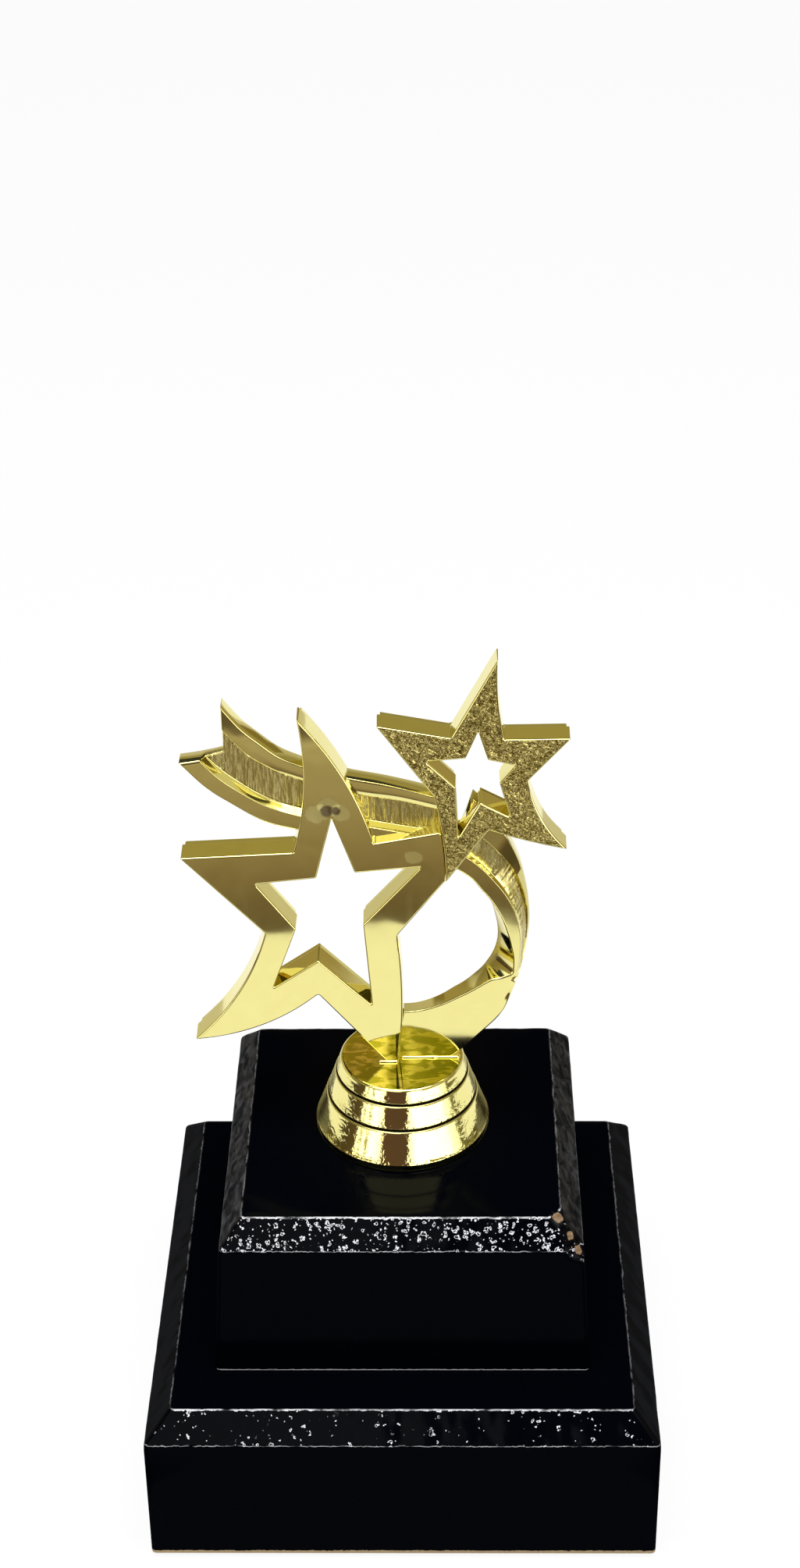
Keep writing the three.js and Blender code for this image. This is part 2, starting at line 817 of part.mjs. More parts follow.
// The straight part of the ribbon: two raised borders and the field sunk between them
function ribbonStrip() {
  const top = ribbonLine(ribbonTopShares);
  const upperLine = ribbonLine(ribbonUpperLineShares);
  const lowerLine = ribbonLine(ribbonLowerLineShares);
  const bottom = ribbonLine(ribbonBottomShares);
  const notch = ribbonPoint(ribbonNotchAcrossShare, ribbonNotchUpShare);
  const fieldBottom = [notch, lowerLine[0], ...bottom.slice(1)];
  return ribbonPlate(top, upperLine, ribbonFrontDepth)
    .add(ribbonPlate(lowerLine, bottom, ribbonFrontDepth))
    .add(ribbonPlate(top, fieldBottom, ribbonFrontDepth + ribbonFieldRecess));
}

const strip = ribbonStrip();
const splitU = bigStar.centreU + ribbonSplitShare * bigStarHalfWidth;
const bandEndU = smallStar.centreU + bandEndShare * smallStarHalfWidth;
const loopEndU = bigStar.centreU + starPegShare * bigStarHalfWidth;

function cometTail() {
  const side = figureBox(farLeft, splitU, fullFront, fullBack, 0, farTop);
  return strip.intersect(side).subtract(bigStarRoom).add(tailTongue(0));
}

function cometBand() {
  const side = figureBox(splitU, bandEndU, fullFront, fullBack, 0, farTop);
  return strip
    .intersect(side)
    .subtract(bigStarRoom)
    .subtract(smallStarRoom)
    .add(bandLeftTongue(0))
    .add(bandRightTongue(0));
}

// A closed skin over a row of rings that all have the same number of points
function loft(rings) {
  const count = rings[0].length;
  const positions = [];
  const face = (a, b, c) => {
    for (const p of [a, b, c]) positions.push(p.x, p.y, p.z);
  };
  for (let i = 0; i + 1 < rings.length; i += 1) {
    for (let j = 0; j < count; j += 1) {
      const k = (j + 1) % count;
      face(rings[i][j], rings[i + 1][k], rings[i][k]);
      face(rings[i][j], rings[i + 1][j], rings[i + 1][k]);
    }
  }
  const centre = loopPoint(0, 0, 0);
  const cap = (ring, flip) => {
    const flat = ring.map((p) => new THREE.Vector2(Math.hypot(p.x - centre.x, p.z - centre.z), p.y));
    for (const [a, b, c] of THREE.ShapeUtils.triangulateShape(flat, [])) {
      if (flip) face(ring[a], ring[c], ring[b]);
      else face(ring[a], ring[b], ring[c]);
    }
  };
  cap(rings[0], false);
  cap(rings[rings.length - 1], true);
  const geometry = new THREE.BufferGeometry();
  geometry.setAttribute("position", new THREE.Float32BufferAttribute(positions, 3));
  return solidOf(geometry);
}

function loopPoint(angle, radiusShare, depth) {
  const turn = THREE.MathUtils.degToRad(angle);
  const across = loopAcrossShare + loopWidthShare * radiusShare * Math.cos(turn);
  const up = loopUpShare + loopHeightShare * radiusShare * Math.sin(turn);
  const point = ribbonPoint(across, up);
  return new THREE.Vector3(...place(point.x, depth, point.y));
}

// The loop: a section of eight corners carried round the stations. The field between its borders is
// sunk where the ribbon faces forwards and comes level as it turns away.
function ribbonLoop() {
  const back = ribbonFrontDepth + ribbonThickness;
  const ledgeShare = loopLedge / (loopWidthShare * bigStarHalfWidth);
  const sections = loopStationShares.map((station) => {
    const [angle, innerBack, innerFront, lineB, lineA, outer, ...depthShares] = station;
    const [depthB, depthA, depthOuter] = depthShares.map(
      (share) => ribbonFrontDepth + share * loopTurnDepth,
    );
    const outerBack = back + depthShares[3] * loopTurnDepth;
    const sunk = ribbonFieldRecess * THREE.MathUtils.smoothstep(angle, loopFlatAngle, loopSunkAngle);
    return [
      loopPoint(angle, innerBack, back),
      loopPoint(angle, innerFront, ribbonFrontDepth),
      loopPoint(angle, lineB, depthB),
      loopPoint(angle, lineB + ledgeShare, depthB + sunk),
      loopPoint(angle, lineA + ledgeShare, depthA + sunk),
      loopPoint(angle, lineA + 2 * ledgeShare, depthA),
      loopPoint(angle, outer + 3 * ledgeShare, depthOuter),
      loopPoint(angle, outer + 3 * ledgeShare, outerBack),
    ];
  });
  const rails = sections[0].map((_, i) => {
    const rail = sections.map((section) => section[i]);
    return new THREE.CatmullRomCurve3(rail).getPoints(loopSteps);
  });
  const rings = rails[0].map((_, i) => rails.map((rail) => rail[i]));
  return loft(rings)
    .intersect(figureBox(loopEndU, farRight, ribbonFrontDepth, fullBack, 0, farTop))
    .subtract(underFigure)
    .subtract(bigStarRoom)
    .subtract(smallStarRoom)
    .add(loopTongue(0))
    .add(loopPeg(0));
}

function figureFootWithSlots() {
  return figureFoot().subtract(starPeg(tongueClearance)).subtract(loopPeg(tongueClearance));
}

// Finishes
const mirrorGold = { color: 0xd8bb5c, roughness: 0.08, metalness: 1 };
const hammeredGold = { color: 0xb99a45, roughness: 0.4, metalness: 1 };
const blackLacquer = { color: 0x07070c, roughness: 0.12, metalness: 0 };
const zincSteel = { color: 0xaeb0b2, roughness: 0.4, metalness: 1 };
const darkFelt = { color: 0x1c211d, roughness: 1, metalness: 0 };

const trophy = new THREE.Group();

function addPiece(group, name, solid, finish) {
  const mesh = new THREE.Mesh(geometryOf(solid), new THREE.MeshStandardMaterial(finish));
  mesh.name = name;
  group.add(mesh);
}

const base = new THREE.Group();
addPiece(base, "lower_block", lowerBlock(), blackLacquer);
addPiece(base, "upper_block", upperBlock(), blackLacquer);
addPiece(base, "felt_sheet", feltSheet(), darkFelt);
addPiece(base, "tie_rod", tieRod(), zincSteel);
addPiece(base, "rod_washer", rodWasher(), zincSteel);
addPiece(base, "rod_nut", hexNut(rodNutTop - nutHeight), zincSteel);
addPiece(base, "foot_nut", hexNut(footNutBottom), zincSteel);
addPiece(base, "block_screw_left", blockScrew(screwPlaces[0]), zincSteel);
addPiece(base, "block_screw_right", blockScrew(screwPlaces[1]), zincSteel);

const figure = new THREE.Group();
addPiece(figure, "figure_foot", figureFootWithSlots(), mirrorGold);
addPiece(figure, "big_star_front", bigStarFront(), mirrorGold);
addPiece(figure, "big_star_back", bigStarBack(), mirrorGold);
addPiece(figure, "small_star_front", smallStarFront(), hammeredGold);
addPiece(figure, "small_star_back", smallStarBack(), mirrorGold);
addPiece(figure, "comet_tail", cometTail(), mirrorGold);
addPiece(figure, "comet_band", cometBand(), mirrorGold);
addPiece(figure, "ribbon_loop", ribbonLoop(), mirrorGold);
trophy.add(base, figure);

export default trophy;
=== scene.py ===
import bpy
import numpy as np
from mathutils import Matrix, Vector


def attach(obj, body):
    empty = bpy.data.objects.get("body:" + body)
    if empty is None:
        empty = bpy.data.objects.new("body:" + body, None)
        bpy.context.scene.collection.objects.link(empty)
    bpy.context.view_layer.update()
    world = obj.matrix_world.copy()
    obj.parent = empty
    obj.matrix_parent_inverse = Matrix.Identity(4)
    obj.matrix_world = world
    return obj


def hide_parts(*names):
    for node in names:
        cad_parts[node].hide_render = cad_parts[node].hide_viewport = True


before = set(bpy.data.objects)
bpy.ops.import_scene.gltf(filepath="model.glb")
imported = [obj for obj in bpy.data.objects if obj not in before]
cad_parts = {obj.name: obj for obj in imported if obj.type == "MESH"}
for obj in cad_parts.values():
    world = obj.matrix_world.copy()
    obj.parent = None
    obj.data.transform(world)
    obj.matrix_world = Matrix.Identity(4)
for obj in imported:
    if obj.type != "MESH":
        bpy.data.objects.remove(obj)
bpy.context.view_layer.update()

mm = 0.001

# Camera: the trophy is looked down on by about thirty degrees from a little to the right of its
# middle, with the camera some forty centimetres in front of it and forty above the table.
camera_place = Vector((7.6, -412.83, 392.1)) * mm
camera_pitch, camera_yaw, camera_roll = np.radians([30.51, 1.01, 0.70])
camera = bpy.data.objects.new("camera", bpy.data.cameras.new("camera"))
camera.data.lens = 59.18
camera.data.sensor_width = 36
camera.data.clip_start = 0.01
camera.matrix_world = (
    Matrix.Translation(camera_place)
    @ Matrix.Rotation(camera_yaw, 4, "Z")
    @ Matrix.Rotation(np.pi / 2 - camera_pitch, 4, "X")
    @ Matrix.Rotation(-camera_roll, 4, "Z")
)
bpy.context.scene.collection.objects.link(camera)
bpy.context.scene.camera = camera


# Felt sheet: thin black self-adhesive felt under the base, cut a little smaller than the block.
# Its fibres lie every way, so the cloth is matt, finely mottled and slightly hairy.
class Wire:
    """One socket in a material's node tree. Sums on it add Math nodes, node adds any other."""

    def __init__(self, tree, socket=None):
        self.tree, self.socket = tree, socket

    def node(self, kind, settings={}, sockets={}, out=0):
        """Adds a shader node of that kind: its settings first, then the values or links of its
        sockets. Stops are those of a colour ramp, each a place and a colour."""
        made = self.tree.nodes.new("ShaderNode" + kind)
        for name, value in settings.items():
            if name == "stops":
                stops = made.color_ramp.elements
                while len(stops) < len(value):
                    stops.new(1)
                for stop, (place, colour) in zip(stops, value):
                    stop.position, stop.color = place, (*colour, 1)
            else:
                setattr(made, name, value)
        for name, value in sockets.items():
            if isinstance(value, Wire):
                self.tree.links.new(value.socket, made.inputs[name])
            else:
                made.inputs[name].default_value = value
        return Wire(self.tree, made.outputs[out] if made.outputs else None)

    def maths(self, operation, *others):
        """A Math node on this socket and the others."""
        return self.node("Math", {"operation": operation}, dict(enumerate((self, *others))))

    def vectors(self, operation, *others, out=0):
        """A Vector Math node on this socket and the others."""
        sockets = dict(enumerate((self, *others)))
        return self.node("VectorMath", {"operation": operation}, sockets, out)

    def __add__(self, other):
        return self.maths("ADD", other)

    def __sub__(self, other):
        return self.maths("SUBTRACT", other)

    def __rsub__(self, other):
        return self.node("Math", {"operation": "SUBTRACT"}, {0: other, 1: self})

    def __mul__(self, other):
        return self.maths("MULTIPLY", other)

    def __abs__(self):
        return self.maths("ABSOLUTE")

    __radd__, __rmul__ = __add__, __mul__

    def between(self, low, high):
        """0 at low, 1 at high and a smooth rise from one to the other."""
        settings = {"interpolation_type": "SMOOTHSTEP"}
        return self.node("MapRange", settings, {0: self, 1: low, 2: high})

    def until(self, low, high):
        """1 at low, 0 at high and a smooth fall from one to the other."""
        return 1 - self.between(low, high)

    def blend(self, first, second):
        """The first colour where this is 0 and the second where it is 1."""
        colours = [c if isinstance(c, Wire) else (*c, 1) for c in (first, second)]
        sockets = {0: self, 6: colours[0], 7: colours[1]}
        return self.node("Mix", {"data_type": "RGBA"}, sockets, out=2)

    def noise(self, size, detail=2, warp=0.0, stretch=(1, 1, 1)):
        """Cloudy noise from 0 to 1 where this is a place, its clouds about that size across."""
        place = self.vectors("MULTIPLY", stretch)
        sockets = {"Vector": place, "Scale": 1 / size, "Detail": detail, "Distortion": warp}
        return self.node("TexNoise", {}, sockets)

    def cells(self, size, out=0):
        """Distance to the nearest of scattered points about that far apart, where this is a place,
        or with out 1 the colour that this point draws."""
        return self.node("TexVoronoi", {}, {"Vector": self, "Scale": 1 / size}, out)

    def bent(self, size, reach):
        """This place pushed about by cloudy colours of that size, by about that reach."""
        push = self.node("TexNoise", {}, {"Vector": self, "Scale": 1 / size}, out=1)
        return push.vectors("MULTIPLY_ADD", (reach, reach, reach), self)

    def apart(self, other):
        """Distance in metres to another place, given in millimetres."""
        return self.vectors("DISTANCE", Vector(other) * mm, out=1)

    def part(self, axis):
        """One coordinate, 0 to 2, where this is a place."""
        return self.node("SeparateXYZ", {}, {0: self}, out=axis)

    def kept(self, name):
        """What mark keeps under that name on the points of a piece."""
        return self.node("Attribute", {"attribute_name": name}, out=2)

    def askance(self, low, high):
        """0 where the surface is seen squarely and 1 where it is seen at a low angle."""
        return self.node("LayerWeight", {}, {"Blend": 0.5}, out=1).between(low, high)


def start_finish(name):
    """A new material with an empty tree, and its Object coordinates."""
    finish = bpy.data.materials.new(name)
    finish.use_nodes = True
    finish.node_tree.nodes.clear()
    return finish, Wire(finish.node_tree).node("TexCoord", out=3)


def end_finish(place, surface, height, relief):
    """Ends a material in a Principled shader, with a bump that deep of that height."""
    bump = {"Strength": 1.0, "Distance": relief, "Height": height}
    surface = {**surface, "Normal": place.node("Bump", {}, bump)}
    shader = place.node("BsdfPrincipled", {}, surface)
    place.node("OutputMaterial", {}, {"Surface": shader})


def dress(node, finish):
    """Gives a solid of the frame its finish."""
    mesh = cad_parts[node].data
    mesh.materials.clear()
    mesh.materials.append(finish)


felt_finish, place = start_finish("dark_felt")
fibres = place.noise(0.35 * mm, 4, 1.5)
patches = place.noise(6 * mm)
felt_colour = (fibres * 0.7 + patches * 0.3).blend((0.006, 0.008, 0.007), (0.035, 0.042, 0.036))
end_finish(place, {"Base Color": felt_colour, "Roughness": 0.95}, fibres, 0.25 * mm)
dress("felt_sheet", felt_finish)


# Rod, nuts, washer and screws: zinc-plated steel inside the base that pulls it and the figure
# together. The plating is dull bright, with fine marks from tumbling and a faint yellow cast.
hardware = ["tie_rod", "rod_washer", "rod_nut", "foot_nut", "block_screw_left", "block_screw_right"]
zinc_finish, place = start_finish("zinc_steel")
tumbled = place.noise(1.5 * mm, 5, 0.4)
zinc_colour = place.noise(4 * mm).blend((0.38, 0.39, 0.41), (0.52, 0.51, 0.47))
surface = {"Base Color": zinc_colour, "Metallic": 1.0, "Roughness": tumbled * 0.3 + 0.25}
end_finish(place, surface, tumbled, 0.02 * mm)
for hidden in hardware:
    dress(hidden, zinc_finish)


# Lower block: a square of board with its top edges cut to a bevel, sprayed gloss black. The
# lacquer lies smooth on top and thin on the sides, thin pale lines are painted along its edges as
# a painted highlight, the cut bevels show the board's grain through it, and along the bottom the
# bare board shows as a tan line.
lower_side = 100 * mm
lower_bottom = 1.0 * mm
block_height = 34 * mm
block_bevel = 5 * mm
block_edge = 0.45 * mm
block_corner = 0.9 * mm
bevel_loss = 0.05 * mm
bevel_waves = 0.045 * mm
bare_line = 1.1 * mm
profile_spacing, ring_spacing = 1.2 * mm, 0.7 * mm
curl_size, curl_radius = 1.3 * mm, 0.27
dot_size = 0.65 * mm


def cut_corners(here, back, on, ease, most, steps=4):
    """Rounds corners that lie here, with ways back and on to their neighbours: each is cut back by
    its ease along both ways, by no more than that share of the shorter one, and a quadratic curve
    joins the cuts, with one more point just outside each cut."""
    back_length, on_length = (np.linalg.norm(way, axis=-1, keepdims=True) for way in (back, on))
    reach = np.minimum(ease, most * np.minimum(back_length, on_length))
    back, on = back / back_length, on / on_length
    curve = [back * (1 - t) ** 2 + on * t**2 for t in np.linspace(0, 1, steps + 1)]
    rows = [here + reach * way for way in (1.1 * back, *curve, 1.1 * on)]
    return np.stack(rows, axis=1).reshape(-1, *here.shape[1:])


def ease_corners(points, ease, steps=4):
    """An open line with its inner corners rounded."""
    points = np.asarray(points, float)
    here = points[1:-1]
    eased = cut_corners(here, points[:-2] - here, points[2:] - here, ease, 0.45, steps)
    return np.vstack([points[:1], eased, points[-1:]])


def spread(line, longest):
    """Puts points into a line so that no two lie further apart than longest."""
    lengths = np.linalg.norm(np.diff(line, axis=0), axis=1)
    parts = np.maximum(1, np.ceil(lengths / longest - 1e-6)).astype(int)
    share = np.concatenate([np.arange(n) / n for n in parts] + [[0.0]])
    start = np.append(np.repeat(np.arange(len(parts)), parts), len(parts))
    ahead = line[np.minimum(start + 1, len(line) - 1)]
    return line[start] + (ahead - line[start]) * share[:, None]


def ripple(points, size, seed):
    """Smooth noise from -1 to 1 at points: random numbers on a lattice of that size, each blended
    into its neighbours by the curve 3t^2 - 2t^3 along every axis."""
    table = np.random.default_rng(seed).uniform(-1, 1, (32, 32, 32))
    cell = points / size
    low = np.floor(cell).astype(int)
    part = cell - low
    part = part * part * (3 - 2 * part)
    total = np.zeros(points.shape[:-1])
    for corner in np.ndindex(2, 2, 2):
        spot = (low + corner) % 32
        weight = np.prod(np.where(corner, part, 1 - part), axis=-1)
        total += weight * table[spot[..., 0], spot[..., 1], spot[..., 2]]
    return total


def square_ring(halves, longest):
    """Squares of those half sides, all with the same number of points: a unit square whose
    corners are rounded, scaled to each half side, with the rounding kept at its own size."""
    halves = np.asarray(halves, float)[:, None]
    count = int(np.ceil(2 * halves.max() / longest))
    along = np.linspace(-1, 1, count + 1)[:-1]
    arc = np.radians(np.linspace(-90, 0, 7))[:-1]
    ease = np.minimum(block_corner, halves)
    side = (halves - ease) * along
    level = -halves + 0 * side
    curve_x = halves - ease + ease * np.cos(arc)
    curve_y = -halves + ease + ease * np.sin(arc)
    x, y = np.hstack([side, curve_x]), np.hstack([level, curve_y])
    turns = [(x, y), (-y, x), (-x, -y), (y, -x)]
    return np.stack([np.hstack([t[0] for t in turns]), np.hstack([t[1] for t in turns])], axis=-1)


def skin(name, grid, finish, stands_for, looped=False):
    """A closed mesh over a grid of points [along, around]: quads between neighbours, joined up
    around each ring. The rings are joined last to first if looped, and otherwise each end is
    closed by strips from each point of the ring to the one that mirrors it."""
    length, around, _ = grid.shape
    number = np.arange(length * around).reshape(length, around)
    if looped:
        number = np.vstack([number, number[:1]])
    low, high = number[:-1], number[1:]
    quads = np.stack([low, np.roll(low, -1, 1), np.roll(high, -1, 1), high], axis=-1).reshape(-1, 4)
    if not looped:
        half = around // 2
        near, far = np.arange(half - 1), around - 1 - np.arange(half - 1)
        lid = np.stack([near, near + 1, far - 1, far], axis=-1)
        quads = np.vstack([quads, number[0][lid][:, ::-1], number[-1][lid]])
    points = grid.reshape(-1, 3)
    a, b, c, d = (points[quads[:, i]] for i in range(4))
    if (np.cross(b, c) * a + np.cross(c, d) * a).sum() < 0:
        quads = quads[:, ::-1]
    mesh = bpy.data.meshes.new(name)
    mesh.from_pydata(points.tolist(), [], quads.tolist())
    mesh.materials.append(finish)
    mesh.shade_smooth()
    piece = bpy.data.objects.new(name, mesh)
    bpy.context.scene.collection.objects.link(piece)
    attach(piece, "root")
    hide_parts(stands_for)
    return piece


def mark(piece, name, values):
    """Keeps a value from 0 to 1 on each point of a piece, for its material."""
    kept = piece.data.attributes.new(name, "FLOAT", "POINT")
    kept.data.foreach_set("value", np.asarray(values, np.float32).ravel())


def make_block(name, side, flare, bottom, centre_y, seed, chips, finish, stands_for):
    """A bevelled block: square rings carried up a profile with eased corners, its bevels made
    uneven by noise, and pressed in where chips lie, each a place, a width and a depth. Its sides
    stand out by the flare at the bottom and in by it at the bevel."""
    half, top = side / 2, bottom + block_height
    corners = [
        (half * 0.9, bottom),
        (half + flare, bottom),
        (half - flare, top - block_bevel),
        (half - block_bevel - 0.2 * flare, top),
        (half * 0.6, top),
    ]
    profile = spread(ease_corners(corners, block_edge), profile_spacing)
    rings = square_ring(profile[:, 0], ring_spacing)
    height = np.broadcast_to(profile[:, 1][:, None, None], (*rings.shape[:2], 1))
    points = np.concatenate([rings, height], axis=-1)
    bevelled = np.clip((points[..., 2:] - (top - block_bevel - 1.5 * mm)) / mm, 0, 1)
    edge = np.abs(points[..., :2]).max(axis=-1, keepdims=True)
    bevelled *= np.clip((edge - (half - block_bevel - 1.2 * mm)) / mm, 0, 1)
    inward = points * (-1, -1, 0) / half + (0, 0, -1)
    uneven = ripple(points, 4 * mm, seed) + 0.5 * ripple(points, 1.3 * mm, seed + 1)
    points = points + inward * bevelled * (bevel_waves * uneven + bevel_loss)[..., None]
    points[..., 1] += centre_y
    for middle, width, depth in chips:
        away = np.linalg.norm(points - np.array(middle) * mm, axis=-1)
        rough = 1 + 0.35 * ripple(points, 0.8 * mm, seed + 2)
        dent = np.clip(1 - away / (width * mm * rough), 0, 1)
        points = points + inward * (depth * mm * np.sqrt(dent))[..., None]
    skin(name, points, finish, stands_for)


def lacquer(name, top, glint_share, seat_line, side_gloss, chips):
    """Black lacquer on board. Its gloss is full on faces that look up and thin on the others. A
    thin pale line painted along the bevel's edges is a painted highlight, and little pale curls and
    dots painted on the front bevel, on that share of scattered points, are painted glints.
    seat_line is how pale a thin line painted along its front's foot is, and side_gloss how shiny
    its side bevels are. Chips show the brown board."""
    finish, place = start_finish(name)
    facing = place.node("NewGeometry", out=1)
    up, forward = facing.part(2), facing.part(1) * -1
    level = up.between(0.9, 0.98)
    slope = up.between(0.3, 0.5) * (1 - level)
    front = slope * forward.between(0.4, 0.6)
    # Painted glints: pale curls and dots of colour on the front bevel stand in for light caught in
    # the lacquer.
    crowd = glint_share * (place.noise(6 * mm, 2).between(0.35, 0.65) * 0.9 + 0.5)
    curled = place.bent(1.0 * mm, 2.0 * mm)
    picked = (curled.cells(curl_size, out=1).part(0) - 1.3 * crowd).until(0.0, 0.05)
    curls = picked * abs(curled.cells(curl_size) - curl_radius).until(0.03, 0.09)
    dotted = place.bent(0.6 * mm, 0.7 * mm)
    picked = (dotted.cells(dot_size, out=1).part(1) - 0.6 * crowd).until(0.0, 0.05)
    dots = picked * dotted.cells(dot_size).until(0.16, 0.26)
    warp = place.noise(1.6 * mm, 2, 1.2)
    height, shift = place.part(2), warp - 0.5
    wavy = height + shift * (0.5 * mm)
    # Painted highlight: a thin pale line painted along the bevel's top and bottom edges.
    rim = abs(wavy - (top - block_bevel)).until(0.03 * mm, 0.1 * mm) * 0.5
    rim = rim + abs(wavy - (top - 0.15 * mm)).until(0.05 * mm, 0.15 * mm)
    rim = rim * (1 - level) * (1 - forward.until(0.1, 0.35) * 0.85)
    rim = rim * place.noise(3 * mm, 3).between(0.3, 0.6)
    # A thin pale line painted along the front's foot, as strong as seat_line.
    seat = abs(wavy - (top - block_height + 0.25 * mm)).until(0.15 * mm, 0.28 * mm) * seat_line
    seat = seat * forward.between(0.5, 0.8) * warp.between(0.25, 0.45)
    bright = (front * (curls + dots) + rim + seat).maths("MINIMUM", 1.0)
    grain = place.noise(1.2 * mm, 4, 0.5)
    black = grain.blend((0.0005, 0.0008, 0.0018), (0.0012, 0.0016, 0.0034))
    colour = bright.blend(black, (0.95, 0.95, 1.0))
    above = height - lower_bottom + shift * (0.7 * mm)
    bare = above.until(bare_line - 0.3 * mm, bare_line)
    tan = place.noise(0.5 * mm, 3).blend((0.42, 0.29, 0.15), (0.62, 0.5, 0.32))
    colour = bare.blend(colour, tan)
    for middle, width, _ in chips:
        away = place.apart(middle) + shift * (0.9 * mm)
        broken = away.until(0.6 * width * mm, 0.72 * width * mm)
        brown = place.noise(0.7 * mm, 3).blend((0.02, 0.008, 0.004), (0.55, 0.36, 0.2))
        colour = broken.blend(colour, brown)
    mottle = place.noise(1.8 * mm, 3, 0.8, (1, 0.5, 1)).between(0.3, 0.8)
    side_coat = (slope - front) * (mottle * side_gloss + 0.05) * 0.7 + front * 0.02
    coat = level * (place.askance(0.5, 0.72) * 0.98 + 0.01) + side_coat + 0.008
    surface = {
        "Base Color": colour,
        "Roughness": 0.6,
        "Specular IOR Level": 0.0,
        "Coat Weight": coat * (1 - bare),
        "Coat Roughness": 0.1,
        "Coat IOR": 2.2,
    }
    relief = slope * grain * 1.5 + front * place.noise(0.9 * mm, 2, 1.5) * 1.5
    end_finish(place, surface, relief, 0.12 * mm)
    return finish


lower_top = lower_bottom + block_height
lower_lacquer = lacquer("black_lacquer_lower", lower_top, 0.08, 0.0, 0.0, [])
make_block(
    "lower_block_lacquered", lower_side, 0.0, lower_bottom, 0.0, 11, [],
    lower_lacquer, "lower_block",
)


# Upper block: the same lacquered board in a smaller size, set a little back on the lower one. Its
# right front corner is knocked, and three chips there show the brown board.
upper_side = 72 * mm
upper_flare = 0.8 * mm
upper_setback = 2.2 * mm
stack_gap = 0.1 * mm
upper_bottom = lower_top + stack_gap
upper_top = upper_bottom + block_height
chips = [
    ((30.2, -28.2, 69.0), 1.9, 0.45),
    ((32.9, -30.9, 66.5), 1.7, 0.4),
    ((34.5, -32.6, 64.6), 2.4, 0.7),
]
upper_lacquer = lacquer("black_lacquer_upper", upper_top, 0.5, 0.9, 0.35, chips)
make_block(
    "upper_block_lacquered", upper_side, upper_flare, upper_bottom, upper_setback, 23, chips,
    upper_lacquer, "upper_block",
)


# Foot: a hollow cone in three tiers with turned grooves between them and a flat top, moulded in
# hard plastic and plated to a gold mirror in a vacuum. The rod's nut sits inside it.
foot_bottom = upper_top + stack_gap
foot_height = 16 * mm
foot_low_radius = 17.8 * mm
foot_top_radius = 12.15 * mm
foot_grooves = [8 * mm, 12.9 * mm]
foot_rim_top = 1 * mm
foot_sides = 192
groove_half = 0.22 * mm
groove_depth = 0.9 * mm
tier_step = 0.12 * mm
tier_ease = 1.2 * mm
pale_gold, deep_gold, low_gold = (0.94, 0.87, 0.36), (0.88, 0.79, 0.29), (0.26, 0.195, 0.045)
plate_relief = 0.10 * mm


def gold_plate(name, crinkled=False, sides=0.05, painted_reflection=0.0, hazes=(), burns=()):
    """Vacuum-plated gold: a bright yellow mirror with faint clouding and slow waves in the
    moulding beneath. crinkled roughens what is marked as the star's face and paints its colour in
    dark and bright patches, as painted shade and painted glints, sides is how much duller it gets
    where it is seen askance, and painted_reflection how strongly greenish patches are painted on
    its level top as a painted reflection. Hazes and burns are places in millimetres with a radius,
    where the plating is made duller or burnt brown. Grooves that are marked are painted dark, as
    painted shade."""
    finish, place = start_finish(name)
    groove = place.kept("groove")
    cloud = place.noise(5 * mm, 3, 0.8)
    smear = place.noise(9 * mm, 2, 1.5, (1, 1, 0.3)).between(0.5, 0.75)
    height = place.noise(11 * mm, 1, 0.6) * 0.5
    height = height + place.kept("uneven") * place.noise(1.5 * mm, 2, 1.0) * 1.5
    colour = cloud.blend(deep_gold, pale_gold)
    roughness = (cloud + smear) * 0.04 + groove * 0.4 + place.askance(0.6, 0.9) * sides + 0.03
    if crinkled:
        face = place.kept("face")
        worm = abs(place.noise(0.9 * mm, 2, 2.0) - 0.5).until(0.0, 0.12)
        height = height + face * (worm * 0.22 + place.noise(0.5 * mm, 2, 1.0) * 0.4)
        # Painted shade and glints: the face's colour is painted in dark and bright patches.
        painted_facets = place.noise(0.75 * mm, 4, 1.5).between(0.38, 0.66)
        colour = face.blend(colour, painted_facets.blend(low_gold, (0.76, 0.66, 0.24)))
        roughness = roughness + face * 0.06
    # Painted reflection: greenish patches painted on level tops.
    if painted_reflection:
        level = place.node("NewGeometry", out=1).part(2).between(0.9, 0.98)
        reflection_patch = place.noise(3.5 * mm, 4, 1.2, (0.7, 1.4, 1)).between(0.44, 0.56) * level * painted_reflection
        colour = reflection_patch.blend(colour, (0.42, 0.42, 0.03))
    # Painted shade: marked grooves are painted almost black.
    colour = groove.blend(colour, (0.02, 0.012, 0.004))
    ragged = (place.noise(2.2 * mm, 3, 1.0) - 0.5) * (1.6 * mm)
    for middle, radius, strength in hazes:
        hazy = (place.apart(middle) + ragged).until(0.7 * radius * mm, radius * mm)
        roughness = roughness + hazy * strength
    for middle, radius in burns:
        burnt = (place.apart(middle) + ragged * 0.5).until(0.6 * radius * mm, radius * mm)
        colour = burnt.blend(colour, (0.25, 0.20, 0.10))
    surface = {"Base Color": colour, "Metallic": 1.0, "Roughness": roughness}
    end_finish(place, surface, height, plate_relief)
    return finish


def cone_radius(height):
    """The foot's radius at a height without its steps, a straight blend from bottom to top."""
    return foot_low_radius + (foot_top_radius - foot_low_radius) * height / foot_height


mirror_gold = gold_plate("mirror_gold")
